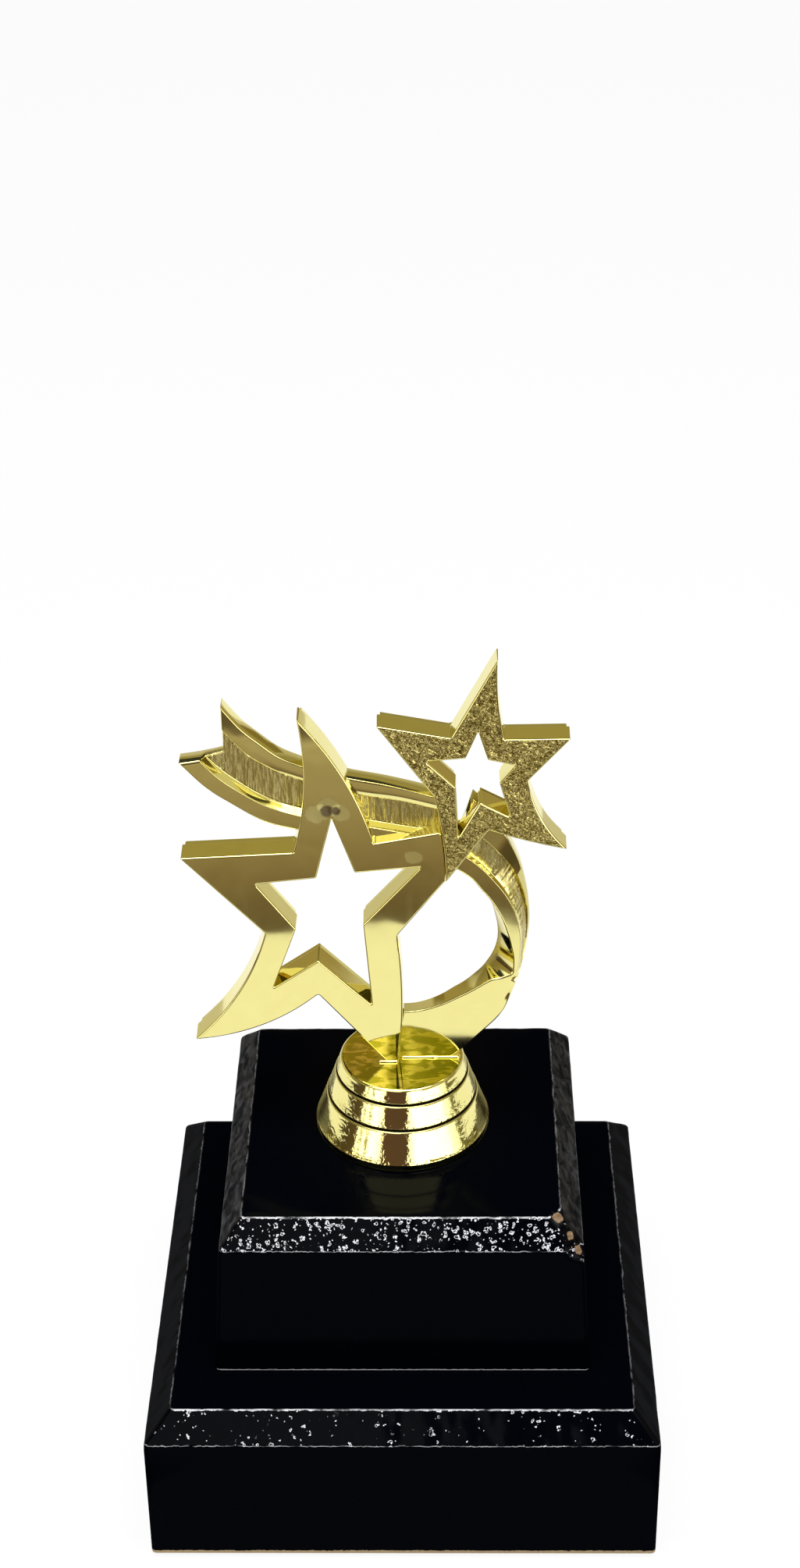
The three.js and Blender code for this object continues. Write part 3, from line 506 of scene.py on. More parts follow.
# The foot's finish paints greenish patches on its level top as a painted reflection.
foot_gold = gold_plate("foot_gold", sides=0.35, painted_reflection=0.85)
foot_profile = [
    (0.2 * foot_low_radius, 0.6 * mm),
    (foot_low_radius - 2.5 * mm, 0.6 * mm),
    (foot_low_radius - 2.4 * mm, 0),
    (foot_low_radius - 0.6 * mm, 0),
    (foot_low_radius - 0.45 * mm, 0.3 * mm),
    (foot_low_radius - 0.42 * mm, 1.4 * mm),
    (cone_radius(1.9 * mm), 1.9 * mm),
    (cone_radius(3 * mm), 3 * mm),
]
for height in foot_grooves:
    low, high = height - groove_half, height + groove_half
    foot_profile += [
        (cone_radius(low), low),
        (cone_radius(height) - groove_depth, height),
        (cone_radius(high) - tier_step, high),
        (cone_radius(high + tier_ease) - 0.5 * tier_step, high + tier_ease),
    ]
foot_profile += [
    (foot_top_radius + 0.1 * mm, foot_height - 0.3 * mm),
    (foot_top_radius - 0.25 * mm, foot_height),
    (0.2 * foot_top_radius, foot_height),
]
turned = spread(ease_corners(foot_profile, 0.25 * mm, 3), 0.6 * mm)
angle = np.linspace(0, 2 * np.pi, foot_sides + 1)[:-1]
round_ring = np.stack([np.cos(angle), np.sin(angle)], axis=-1)
foot_rings = turned[:, None, :1] * round_ring[None]
foot_heights = np.broadcast_to(turned[:, 1][:, None, None], (*foot_rings.shape[:2], 1))
foot_points = np.concatenate([foot_rings, foot_heights], axis=-1)
figure_origin = np.array([0, upper_setback, foot_bottom])
foot = skin("foot_plated", foot_points + figure_origin, foot_gold, "figure_foot")
level = foot_points[..., 2]
# Marks the foot's grooves, which its finish paints dark as painted shade.
near_groove = [1 - np.abs(level - groove) / (1.2 * groove_half) for groove in foot_grooves]
mark(foot, "groove", np.clip(3 * np.max(near_groove, axis=0), 0, 1))
above_turn = np.min([(level - turn) % (20 * mm) for turn in [foot_rim_top, *foot_grooves]], axis=0)
on_side = np.clip((level - foot_rim_top) / (0.5 * mm), 0, 1) * (level < foot_height - mm)
mark(foot, "uneven", np.clip(1.2 - above_turn / (2 * mm), 0.25, 1) * on_side)


# Big star: two plated shells pushed together on pins, their walls hollow behind a flat mirror
# face. The deeper front shell has its lower right arm stand on the foot, and its right arm is cut
# off along the small star. The back shell is a little smaller, so the parting shows as a step.
star_front_depth = -2.8 * mm
parting_depth = 2.2 * mm
parting_gap = 0.1 * mm
figure_back_depth = 4.2 * mm
back_shell_inset = 0.3 * mm
shell_edge = 0.3 * mm
shell_face = 1.4 * mm
wall_end = 0.04 * mm
wall_draft = 0.02
corner_cut = 0.25 * mm
arc_points = 6
big_centre = np.array([-11.6, 54.4]) * mm
big_half = np.array([30, 40]) * mm
big_outline = [
    (-0.233, 0.982, 0.06), (0.227, 0.31, 0), (0.653, 0.371, 0.016), (0.677, 0.098, 0),
    (0.37, -0.207, 0.031), (0.3585, -1.022, 0), (-0.15, -0.552, 0.085), (-0.97, -0.822, -0.07),
    (-0.483, -0.195, 0), (-1.0, 0.232, 0), (-0.28, 0.26, -0.055),
]
big_opening = [
    (-0.033, 0.45, 0), (0.103, 0.148, 0), (0.514, 0.179, 0), (0.513, 0.171, 0),
    (0.15, -0.145, 0), (0.197, -0.615, 0), (-0.143, -0.353, 0), (-0.44, -0.513, 0),
    (-0.28, -0.17, 0), (-0.527, 0.085, 0), (-0.14, 0.118, 0),
]
big_face_marks = {
    "hazes": [
        ((-15.4, -0.6, 142.6), 2.6, 0.22),
        ((-13.2, -0.6, 144.4), 2.4, 0.22),
        ((-10.8, -0.6, 142.8), 2.1, 0.22),
        ((2.6, -0.6, 133.0), 1.9, 0.14),
    ],
    "burns": [((-13.5, -0.6, 143.3), 1.5), ((-11.7, -0.6, 143.3), 1.0)],
}


def star_line(shares, centre, half, inset, outer, along=14):
    """A star's closed outline, moved into the metal by inset. Corners are shares of the star's half
    sizes, moved along their mitre, and their edges are quadratic curves whose bulge is a share of
    the edge's length. Each corner is an arc that cuts it back by no more than corner_cut."""
    shares = np.asarray(shares, float)
    bulge = shares[:, 2:]
    corner = centre + shares[:, :2] * half
    following = np.roll(corner, -1, 0)
    side = np.sign(np.sum(corner[:, 0] * following[:, 1] - following[:, 0] * corner[:, 1]))

    def tangents(corner):
        edge = np.roll(corner, -1, 0) - corner
        control = corner + edge / 2 + 2 * side * bulge * edge[:, ::-1] * (1, -1)
        leave = control - corner
        enter = np.roll(np.roll(corner, -1, 0) - control, 1, 0)
        enter, leave = (v / np.linalg.norm(v, axis=1)[:, None] for v in (enter, leave))
        return control, enter, leave, np.linalg.norm(edge, axis=1)

    _, enter, leave, _ = tangents(corner)
    first, second = (v[:, ::-1] * (-1, 1) for v in (enter, leave))
    mitre = (first + second) / np.maximum(1 + np.sum(first * second, 1), 0.03)[:, None]
    inward = side if outer else -side
    corner = corner + mitre * inward * inset
    control, enter, leave, length = tangents(corner)
    cross = enter[:, 0] * leave[:, 1] - enter[:, 1] * leave[:, 0]
    turn = np.arctan2(cross, np.sum(enter * leave, 1))
    bend, hand = np.abs(turn), np.sign(turn)
    radius = np.minimum(2 * corner_cut, corner_cut / np.maximum(1 / np.cos(bend / 2) - 1, 0.05))
    radius = np.where(hand == inward, np.maximum(radius - inset, 0.03 * mm), radius + inset)
    shorter = np.minimum(length, np.roll(length, 1))
    reach = np.minimum(radius * np.tan(bend / 2), 0.4 * shorter)
    radius = reach / np.tan(bend / 2)
    swing = bend[:, None, None] * np.linspace(0, 1, arc_points)[None, :, None]
    arc = (
        corner[:, None]
        - enter[:, None] * reach[:, None, None]
        + radius[:, None, None] * np.sin(swing) * enter[:, None]
        + (radius * hand)[:, None, None] * (1 - np.cos(swing)) * (enter[:, ::-1] * (-1, 1))[:, None]
    )
    start = (reach / length)[:, None]
    stop = 1 - np.roll(reach, -1)[:, None] / length[:, None]
    share = np.concatenate([[0.01], np.linspace(0, 1, along + 2)[1:-1], [0.99]])
    t = (start + (stop - start) * share[None])[..., None]
    following = np.roll(corner, -1, 0)[:, None]
    edge = corner[:, None] * (1 - t) ** 2 + control[:, None] * 2 * t * (1 - t) + following * t**2
    return np.concatenate([arc, edge], axis=1).reshape(-1, 2)


def figure_points(plan, depth):
    """Plan points across and up, with a depth, as places in the trophy's frame."""
    depth = np.broadcast_to(depth, plan.shape[:-1])
    return np.stack([plan[..., 0], depth, plan[..., 1]], axis=-1) + figure_origin


def star_shell(name, star, face, rim, inset, finish, stands_for,
               along=14, rows=6, relief=None, broad=None):
    """A hollow shell of a star, given as outline, opening, centre and half sizes. Its section runs
    from the rim up the outer wall, round the eased edge, straight across the face to the opening,
    down that wall and back along the inside, and each of its points follows the star's line at
    its own inset. relief raises the face, and broad is the number of an edge whose rounding is
    four times as wide, apart from its ends."""
    outline, opening, centre, half = star
    towards = np.sign(rim - face)
    wall = [(wall_end, rim), (0, rim - towards * wall_end), (0, rim - towards * 2 * wall_end)]
    wall += [(0, face + towards * share * shell_edge) for share in (1.3, 1.15)]
    for a in np.radians(np.linspace(0, 90, 5)):
        wall.append(((1 - np.cos(a)) * shell_edge, face + towards * shell_edge * (1 - np.sin(a))))
    insets = [d + inset - wall_draft * abs(z - face) for d, z in wall]
    outer = [star_line(outline, centre, half, d, True, along) for d in insets]
    inner = [star_line(opening, centre, half, d, False, along) for d in insets]
    if broad is not None:
        samples = len(outer[0]) // len(outline)
        edge, place = np.divmod(np.arange(len(outer[0])), samples)
        share = np.clip((place - arc_points) / (samples - arc_points - 1), 0, 1)
        wide = (edge == broad) * np.clip(6 * np.minimum(share, 1 - share), 0, 1)
        for i, (d, _) in enumerate(wall):
            if d > wall_end:
                stretched = star_line(outline, centre, half, insets[i] + 3 * d, True, along)
                outer[i] = outer[i] + (stretched - outer[i]) * wide[:, None]
    cross = np.concatenate([[0.01], np.linspace(0, 1, rows + 2)[1:-1], [0.99]])[:, None, None]
    flat = outer[-1] + (inner[-1] - outer[-1]) * cross
    lift = np.zeros(flat.shape[:-1])
    if relief is not None:
        lift = relief(flat) * np.minimum(1, 6 * np.minimum(cross, 1 - cross))[..., 0]
    outside = [figure_points(line, z) for line, (_, z) in zip(outer, wall)]
    inside = [figure_points(line, z) for line, (_, z) in zip(inner, wall)]
    across = list(figure_points(flat, face - towards * lift))
    behind = face + towards * shell_face
    cavity = [
        figure_points(outer[0] + (inner[0] - outer[0]) * share, depth)
        for share, depth in [(0.8, rim), (0.8, behind), (0.2, behind), (0.2, rim)]
    ]
    grid = np.stack(outside + across + inside[::-1] + cavity, axis=1)
    piece = skin(name, grid, finish, stands_for, looped=True)
    on_face = np.zeros(grid.shape[:2])
    on_face[:, len(outside) : len(outside) + len(across)] = 1
    mark(piece, "face", on_face)


marked_gold = gold_plate("marked_gold", **big_face_marks)
big_star = big_outline, big_opening, big_centre, big_half
star_shell(
    "big_star_front_plated", big_star, star_front_depth, parting_depth, 0.0, marked_gold,
    "big_star_front", broad=4,
)
star_shell(
    "big_star_back_plated", big_star, figure_back_depth, parting_depth + parting_gap,
    back_shell_inset, mirror_gold, "big_star_back",
)


# Small star: two shells like the big star's, standing a millimetre further forward. The mould of
# its front face was hammered and etched, so the plating there glitters in small crinkles, and the
# face's colour is painted in dark and bright patches as painted shade and painted glints.
small_centre = np.array([13.99, 83.0]) * mm
small_half = np.array([18, 24]) * mm
small_front_depth = star_front_depth - 1.0 * mm
small_parting_depth = 0.9 * mm
small_back_depth = 2.9 * mm
crinkle_height = 0.13 * mm
small_outline = [
    (0.24, 0.975, -0.03), (0.311, 0.283, 0), (0.994, 0.29, 0), (0.561, -0.083, -0.08),
    (0.985, -0.705, 0.02), (0.161, -0.529, 0), (-0.289, -1.013, -0.03), (-0.411, -0.221, 0),
    (-1.0, 0.404, 0), (-0.239, 0.296, 0),
]
small_opening = [
    (0.044, 0.35, 0), (0.144, 0.104, 0), (0.428, 0.054, 0), (0.267, -0.104, 0),
    (0.378, -0.404, 0), (0.067, -0.275, 0), (-0.156, -0.592, 0), (-0.183, -0.138, 0),
    (-0.489, 0.092, 0), (-0.083, 0.117, 0),
]


def crinkles(plan):
    """Hammered relief: ridges where warped noise crosses zero, over a gentler rolling."""
    point = np.stack([plan[..., 0], plan[..., 1], 0 * plan[..., 0]], axis=-1)
    push = np.stack([ripple(point, 0.9 * mm, seed) for seed in (31, 32, 33)], axis=-1)
    ridge = 1 - np.minimum(1, 3 * np.abs(ripple(point + 0.35 * mm * push, 0.7 * mm, 34)))
    return crinkle_height * (0.7 * ridge + 0.4 * ripple(point, 0.8 * mm, 35) - 0.3)


hammered_gold = gold_plate("hammered_gold", crinkled=True)
small_star = small_outline, small_opening, small_centre, small_half
star_shell(
    "small_star_front_plated", small_star, small_front_depth, small_parting_depth, 0.0,
    hammered_gold, "small_star_front", along=56, rows=30, relief=crinkles,
)
star_shell(
    "small_star_back_plated", small_star, small_back_depth, small_parting_depth + parting_gap,
    back_shell_inset, mirror_gold, "small_star_back",
)


# Comet tail: the forked end of the ribbon, moulded solid. Two smooth raised borders run along a
# sunk field, which is scored with fine lines from edge to edge. It enters the big star's wall.
ribbon_front_depth = -1.3 * mm
ribbon_thickness = 4 * mm
field_recess = 1.5 * mm
ribbon_edge = 0.25 * mm
ribbon_lip = 0.35 * mm
ledge_share = 0.13
score_depth = 0.11 * mm
score_sizes = 0.5 * mm, 0.28 * mm
edge_slant, end_slant = 0.85, 0.75
ribbon_lines = [
    [(-0.697, 1.026), (-0.577, 0.91), (-0.463, 0.832), (-0.363, 0.77), (-0.23, 0.72),
     (0.05, 0.652), (0.32, 0.608), (0.607, 0.548), (0.9, 0.47)],
    [(-0.697, 0.905), (-0.57, 0.79), (-0.407, 0.7), (-0.233, 0.64), (0.113, 0.56),
     (0.43, 0.515), (0.6, 0.48), (0.9, 0.42)],
    [(-0.847, 0.745), (-0.74, 0.655), (-0.597, 0.57), (-0.45, 0.5), (-0.25, 0.445),
     (0.197, 0.38), (0.463, 0.34), (0.9, 0.31)],
    [(-0.973, 0.73), (-0.82, 0.602), (-0.64, 0.5), (-0.457, 0.412), (-0.277, 0.37),
     (0.1, 0.32), (0.5, 0.28), (0.9, 0.25)],
]
fork_rows = [0, 1, 1.469, 2, 3]
fork_shares = [-0.697, -0.697, -0.697, -0.847, -0.973]
arm_left, arm_right, arm_tip = (-0.28, 0.26), (0.227, 0.31), (-0.233, 1.0)
arm_bulge = 1.6 * mm
low_arm_across, low_arm_height, low_arm_lean = 6.59 * mm, 77.7 * mm, 0.116
tuck = 0.8 * mm


def cubic(t, low, high, low_slope, high_slope):
    """The cubic from low to high as t goes from 0 to 1, with those slopes at its ends."""
    return (
        (1 + 2 * t) * (1 - t) ** 2 * low + t * (1 - t) ** 2 * low_slope
        + t * t * (3 - 2 * t) * high + t * t * (t - 1) * high_slope
    )


def line_height(line, across):
    """Height of a ribbon line at places across: a cubic through its points, whose slope at each is
    the slope between its neighbours, carried on straight beyond the ends."""
    x, y = np.array(line).T * big_half[:, None] + big_centre[:, None]
    slope = np.gradient(y, x)
    i = np.clip(np.searchsorted(x, across) - 1, 0, len(x) - 2)
    width = x[i + 1] - x[i]
    t = np.clip((across - x[i]) / width, 0, 1)
    curve = cubic(t, y[i], y[i + 1], width * slope[i], width * slope[i + 1])
    before, beyond = np.minimum(across - x[0], 0), np.maximum(across - x[-1], 0)
    return curve + before * slope[0] + beyond * slope[-1]


def ribbon_height(share, across):
    """Height of the ribbon's row at a share from 0 at its top edge through 1 and 2 at the field's
    edges to 3 at its bottom edge, a straight blend between the lines."""
    heights = [line_height(line, across) for line in ribbon_lines]
    step = np.clip(np.floor(share), 0, 2)
    above = np.choose(step.astype(int) + 0 * across.astype(int), heights[:3])
    below = np.choose(step.astype(int) + 0 * across.astype(int), heights[1:])
    return above + (below - above) * (share - step)


def scoring(points, seed):
    """Height of the score lines at points, whose first coordinate runs across the lines."""
    wide, fine = (ripple(points, size, seed + i) for i, size in enumerate(score_sizes))
    return (wide + 0.6 * fine) * score_depth


def ribbon_strip(name, start_of, end_of, cut_end, field_shade, stands_for):
    """A stretch of the ribbon. Rows follow the ribbon's lines, columns run from start to end, and
    the front and back are the same plan at two depths, with their edges eased by a quarter circle
    and the field sunk behind slanted ledges and scored across. field_shade is how far the field's
    colour is painted darker as painted shade; above about two thirds it also makes it rougher."""
    border = np.array([0, 0.008, 0.025, 0.05, 0.08, 0.12])
    lip = np.array([0.9, 0.92, 0.94, 0.96, 0.975, 0.99])
    field = np.concatenate([[0.0, 0.01, 0.02, 0.03, 0.04, 0.05], np.linspace(0.07, 0.84, 24)])
    ledge = np.array([0.855, 0.865, 0.88, 0.91, 0.95, 0.985, 0.995, 1.005, 1.015, 1.03])
    rows = np.concatenate([border, [0.5], lip, 1 + field, 1 + ledge, [2.5], 3 - border[::-1]])
    steps = np.concatenate([[0, 0.004, 0.009, 0.014, 0.02], np.linspace(0.028, 0.994, 260), [1.0]])
    share = rows[:, None] + 0 * steps[None]
    start, end = start_of(rows)[:, None], end_of(rows)[:, None]
    across = start + (end - start) * steps[None]
    up = ribbon_height(share, across)
    top, upper, _, bottom = (line_height(line, across) for line in ribbon_lines)
    from_edge = np.minimum(top - up, up - bottom) * edge_slant
    if cut_end:
        from_edge = np.minimum(from_edge, (across - start) * end_slant)
    short = ribbon_edge - np.clip(from_edge, 0, ribbon_edge)
    drop = ribbon_edge - np.sqrt(ribbon_edge**2 - short**2)
    below = (upper - up) * edge_slant / ribbon_lip
    rounded = ribbon_lip * (1 - np.sqrt(1 - np.clip(1 + below, 0, 1) ** 2))
    sunk_top = rounded + np.clip(below, 0, 1) * (field_recess - ribbon_lip)
    sunk_low = np.clip((2.0 - share) / ledge_share, 0, 1) * field_recess
    in_field = np.clip(np.minimum(share - 1.05, 1.86 - share) * 30, 0, 1)
    scores = scoring(np.stack([across, 0.05 * up, 0 * up], axis=-1), 51)
    front = ribbon_front_depth + drop + np.minimum(sunk_top, sunk_low) + in_field * scores
    back = ribbon_front_depth + ribbon_thickness - drop
    plan = np.stack([across, up], axis=-1)
    grid = np.concatenate([figure_points(plan, front), figure_points(plan, back)[::-1]], axis=0)
    piece = skin(name, grid.swapaxes(0, 1), ribbon_gold, stands_for)
    scored = np.concatenate([in_field, 0 * in_field], axis=0).T
    mark(piece, "scored", scored)
    mark(piece, "dulled", scored * field_shade)


def fork_start(rows):
    """Where each row of the tail starts: on the upright cut above the fork, the cut below it, or
    the end of the lower border."""
    return big_centre[0] + np.interp(rows, fork_rows, fork_shares) * big_half[0]


def arm_edge(start):
    """A function of height that gives how far across one edge of the big star's top arm lies: on
    a straight line from its start to the tip, plus the arm's bulge times 4t(1 - t)."""
    low, high = (big_centre + np.array(p) * big_half for p in (start, arm_tip))

    def across(height):
        t = np.clip((height - low[1]) / (high[1] - low[1]), 0, 1)
        return low[0] + (high[0] - low[0]) * t + arm_bulge * 4 * t * (1 - t)

    return across


def low_arm_edge(height):
    """How far across the left side of the small star's low arm lies at a height, on a straight
    line."""
    return low_arm_across + low_arm_lean * (low_arm_height - height)


def row_end(edge, guess, sunk):
    """Where each row meets an edge, and a little beyond it: the row's height at a guess gives a
    new place on the edge, four times over."""

    def ends(rows):
        across = np.full(len(rows), guess)
        for _ in range(4):
            across = edge(ribbon_height(rows, across)) + sunk
        return across

    return ends


ribbon_gold, place = start_finish("ribbon_gold")
scored, dulled = place.kept("scored"), place.kept("dulled")
cloud = place.noise(5 * mm, 3, 0.8)
streaks = place.noise(0.22 * mm, 3, 0.5, (1, 1, 0.12))
# Painted highlights and shade: the scored field's colour is painted in light and dark stripes along
# its score lines.
lines = place.noise(0.36 * mm, 3, 0.3, (1, 1, 0.14)).between(0.38, 0.62)
score_stripe_sheen = lines.blend((0.60, 0.50, 0.15), (0.98, 0.90, 0.40))
colour = scored.blend(cloud.blend(deep_gold, pale_gold), score_stripe_sheen)
# Painted shade: where the darkening mark is set, the colour is painted darker, and where it is
# strong the plating is also rougher.
surface = {
    "Base Color": (dulled * 0.75).blend(colour, (0.36, 0.29, 0.10)),
    "Metallic": 1.0,
    "Roughness": cloud * 0.04 + scored * 0.18 + dulled.between(0.65, 1.0) * 0.36 + 0.05,
}
height = scored * streaks + place.noise(11 * mm, 1, 0.6) * 0.5
end_finish(place, surface, height, plate_relief)
tail_end = row_end(arm_edge(arm_left), -19 * mm, tuck)
ribbon_strip("comet_tail_plated", fork_start, tail_end, True, 0.0, "comet_tail")


# Comet band: the same plated ribbon between the big star's top arm and the small star, with
# both ends tucked inside them. Its sunk field is painted darker than the tail's, a painted shade.
band_start = row_end(arm_edge(arm_right), -9 * mm, -tuck)
band_end = row_end(low_arm_edge, 7 * mm, tuck)
ribbon_strip("comet_band_plated", band_start, band_end, False, 0.6, "comet_band")


# Ribbon loop: from under the small star the ribbon turns its scored field outwards, narrows, and
# comes round as a wide smooth face that stands on the foot.
loop_size = np.array([0.51, 0.3825])
loop_centre = np.array([0.503, -0.2725])
loop_turn_depth = 5.6 * mm
loop_ledge = 0.06 * mm / (loop_size[0] * big_half[0])
loop_eases = np.array([0.3, 0.3, 0.12, 0.12, 0.12, 0.12, 0.3, 0.3]) * mm
flat_angle, sunk_angle = -25, 55
loop_steps, field_rows = 420, 16

# Each station is an angle above level, seen from the loop's centre, then radius shares of the
# inner edge's back and front, of the field's two borders and of the outer edge, then depth shares
# of the field's borders, of the outer edge and of how far the back moves away.
loop_stations = np.array([
    [72, 1.2, 1.2, 1.44, 1.8, 2.2, 0, 0, 0, 0],
    [56, 1.155, 1.16, 1.365, 1.68, 1.91, 0, 0, 0.05, 0],
    [42, 1.1, 1.105, 1.315, 1.57, 1.69, 0, 0.25, 0.36, 0.14],
    [28, 1.03, 1.1, 1.3, 1.475, 1.525, 0, 0.5, 0.66, 0.36],
    [13, 1.0, 1.12, 1.29, 1.41, 1.43, 0, 0.7, 0.86, 0.46],
    [-2, 1.0, 1.175, 1.29, 1.37, 1.395, 0, 0.7, 0.95, 0.46],
    [-13, 0.995, 1.245, 1.305, 1.365, 1.385, 0, 0.5, 0.75, 0.34],
    [-21, 0.985, 1.285, 1.325, 1.365, 1.39, 0, 0.2, 0.5, 0.18],
    [-27, 0.975, 1.2, 1.28, 1.365, 1.4, 0, 0, 0.25, 0.1],
    [-33, 0.97, 1.08, 1.22, 1.37, 1.415, 0, 0, 0.1, 0.05],
    [-45, 0.955, 1.01, 1.2, 1.42, 1.505, 0, 0, 0, 0],
    [-60, 0.96, 0.98, 1.25, 1.52, 1.6, 0, 0, 0, 0],
    [-76, 1.02, 1.005, 1.3, 1.7, 1.8, 0, 0, 0, 0],
    [-92, 1.1, 1.06, 1.4, 1.85, 2.0, 0, 0, 0, 0],
    [-100, 1.13, 1.09, 1.42, 1.86, 2.02, 0, 0, 0, 0],
])


def through(points, count):
    """A curve through points, given as rows, that never swings past them: a cubic between
    neighbours whose slope at each point is the harmonic mean of the steps before and after it,
    or 0 where these have opposite signs."""
    step = np.diff(points, axis=0)
    step = np.concatenate([step[:1], step, step[-1:]])
    product = step[1:] * step[:-1]
    slope = np.where(product > 0, 2 * product / (step[1:] + step[:-1] + 1e-12 * (product <= 0)), 0)
    place = np.linspace(0, len(points) - 1, count)
    i = np.minimum(place.astype(int), len(points) - 2)
    return cubic((place - i)[:, None], points[i], points[i + 1], slope[i], slope[i + 1])


stations = through(loop_stations, loop_steps)
angle, turn = stations[:, 0], np.radians(stations[:, 0])
sunk_share = np.clip((angle - flat_angle) / (sunk_angle - flat_angle), 0, 1)
sunk = field_recess * sunk_share**2 * (3 - 2 * sunk_share)
ledges = loop_ledge * np.array([0, 0, 0, 1, 1, 2, 3, 3])
radii = (stations[:, [1, 2, 3, 3, 4, 4, 5, 5]] + ledges).T
inner_turned, outer_turned, edge_turned, back_turned = stations[:, 6:].T * loop_turn_depth
turned = [
    0 * turn, inner_turned, inner_turned + sunk, outer_turned + sunk, outer_turned, edge_turned
]
back = ribbon_thickness + np.array([0 * turn, back_turned])
depths = ribbon_front_depth + np.vstack([back[:1], turned, back[1:]])
swept = np.stack([np.cos(turn), np.sin(turn)], axis=-1) * radii[..., None] * loop_size
rails = figure_points(big_centre + (loop_centre + swept) * big_half, depths)
ways = np.roll(rails, 1, 0) - rails, np.roll(rails, -1, 0) - rails
rows = cut_corners(rails, *ways, loop_eases[:, None, None], 0.42)
per_corner = len(rows) // len(rails)
corner_of = np.arange(len(rows)) // per_corner
split, seam = 4 * per_corner, per_corner // 2 + 1


def with_field(rows, field):
    """The loop's rows with those of its field put in, as [along, around], from the seam on."""
    whole = np.concatenate([rows[:split], field, rows[split:]]).swapaxes(0, 1)
    return np.roll(whole, -seam, axis=1)


low, high = rows[split - 1], rows[split]
share = np.linspace(0, 1, field_rows + 2)[1:-1, None]
length = np.concatenate([[0], np.cumsum(np.linalg.norm(np.diff(rails[3], axis=0), axis=1))])
outward = np.cross(high - low, np.gradient(low, axis=0))
outward /= np.linalg.norm(outward, axis=-1, keepdims=True) + 1e-12
lines = np.broadcast_arrays(length + 0.8 * mm * share, 0.35 * mm * share, 0.0)
scores = scoring(np.stack(lines, axis=-1), 53)
fade = np.minimum(1, 5 * np.minimum(share, 1 - share)) * np.clip((angle + 22) / 12, 0, 1)
field = low + (high - low) * share[..., None] + outward * (scores * fade)[..., None]
loop_grid = with_field(rows, field)
loop = skin("ribbon_loop_plated", loop_grid, ribbon_gold, "ribbon_loop")
mark(loop, "scored", with_field(np.zeros(rows.shape[:2]), fade))
# Painted dark reflection: the inner wall, the outer border and the scored field are marked to be
# painted darker, and the most strongly marked also rougher.
inner_wall = (corner_of == 0)[:, None] * np.clip((angle + 60) / 20, 0, 1)
outer_border = np.isin(corner_of, [5, 6])[:, None] * np.clip((angle + 10) / 20, 0, 1)
mark(loop, "dulled", with_field(inner_wall + 0.6 * outer_border, 0.7 * fade))


# Weld beads: where the wide end of the ribbon and the big star's leg stand on the foot, the
# solvent that joins them has pressed out a thin rounded bead, plated over with the rest.
bead_radius = 0.42 * mm
bead_seed = 61
bead_runs = [
    ("ribbon_bead", (-0.2, 11.6), ribbon_front_depth, "ribbon_loop"),
    ("leg_bead", (-4.6, -0.6), star_front_depth, "big_star_front"),
]
circle = np.linspace(0, 2 * np.pi, 17)[:-1]
for name, (left, right), depth, stands_for in bead_runs:
    along = np.linspace(left, right, 40) * mm
    from_end = np.minimum(along - along[0], along[-1] - along) / mm
    lumps = ripple(np.stack([along, 0 * along, 0 * along], axis=-1), 1.5 * mm, bead_seed)
    swell = bead_radius * np.minimum(1, 0.15 + 3 * from_end) ** 0.5 * (1 + 0.15 * lumps)
    swell = swell[:, None]
    plan = np.broadcast_arrays(along[:, None], foot_height + swell * np.sin(circle))
    grid = figure_points(np.stack(plan, axis=-1), depth + swell * np.cos(circle))
    skin(name, grid, mirror_gold, stands_for)


# Floor and light, which are not part of the trophy: a white sweep of table under a sky that darkens
# overhead, with one broad lamp above. Three plain cards stand for the room in front: two lie on
# the table, one close and one far, and one stands round it. Only the bright metal shows them.
near_radius, far_radius = 0.174, 1.5
close_radius = 0.085
card_height = 0.002
screen_radius, screen_height = 0.46, 0.30
lying_reach, close_reach, screen_reach = 75, 110, 150
floor_half = 4
table_stops = [
    (0.00, (0.10, 0.075, 0.045)), (0.06, (0.16, 0.12, 0.08)), (0.12, (0.25, 0.19, 0.13)),
    (0.19, (0.32, 0.26, 0.19)), (0.22, (0.34, 0.28, 0.21)), (0.29, (0.37, 0.31, 0.23)),
    (0.322, (0.52, 0.45, 0.36)), (0.35, (0.11, 0.08, 0.055)), (1.00, (0.10, 0.08, 0.06)),
]
close_stops = [
    (0.00, (1.0, 1.0, 1.0)), (0.14, (0.9, 0.9, 0.85)), (0.18, (0.10, 0.08, 0.05)),
    (0.33, (0.14, 0.11, 0.07)), (0.36, (1.0, 1.0, 1.0)),
]
close_stops += [(1 - place, colour) for place, colour in close_stops[::-1]]
screen_stops = [
    (0.00, (0.62, 0.58, 0.48)), (0.195, (0.62, 0.58, 0.40)), (0.21, (0.07, 0.05, 0.03)),
    (0.29, (0.10, 0.07, 0.04)), (0.30, (2.4, 2.4, 2.4)), (0.31, (0.25, 0.2, 0.12)),
    (0.32, (2.6, 2.6, 2.6)), (0.335, (2.4, 2.38, 2.3)), (0.345, (0.12, 0.09, 0.05)),
    (0.36, (3.0, 3.0, 3.0)), (0.405, (2.2, 2.15, 2.1)), (0.42, (0.11, 0.06, 0.05)),
    (0.53, (0.10, 0.06, 0.05)), (0.545, (3.3, 3.3, 3.3)), (0.70, (2.8, 2.8, 2.8)),
    (0.75, (1.1, 1.1, 1.05)), (0.77, (0.16, 0.15, 0.08)), (0.83, (0.30, 0.27, 0.16)),
    (0.85, (0.62, 0.58, 0.48)), (1.00, (0.62, 0.58, 0.48)),
]
sky_stops = [
    (0.00, (0.62, 0.57, 0.46)), (0.30, (0.50, 0.45, 0.33)), (0.42, (0.30, 0.26, 0.13)),
    (0.56, (0.36, 0.30, 0.12)), (0.58, (0.04, 0.04, 0.04)), (1.00, (0.04, 0.04, 0.04)),
]
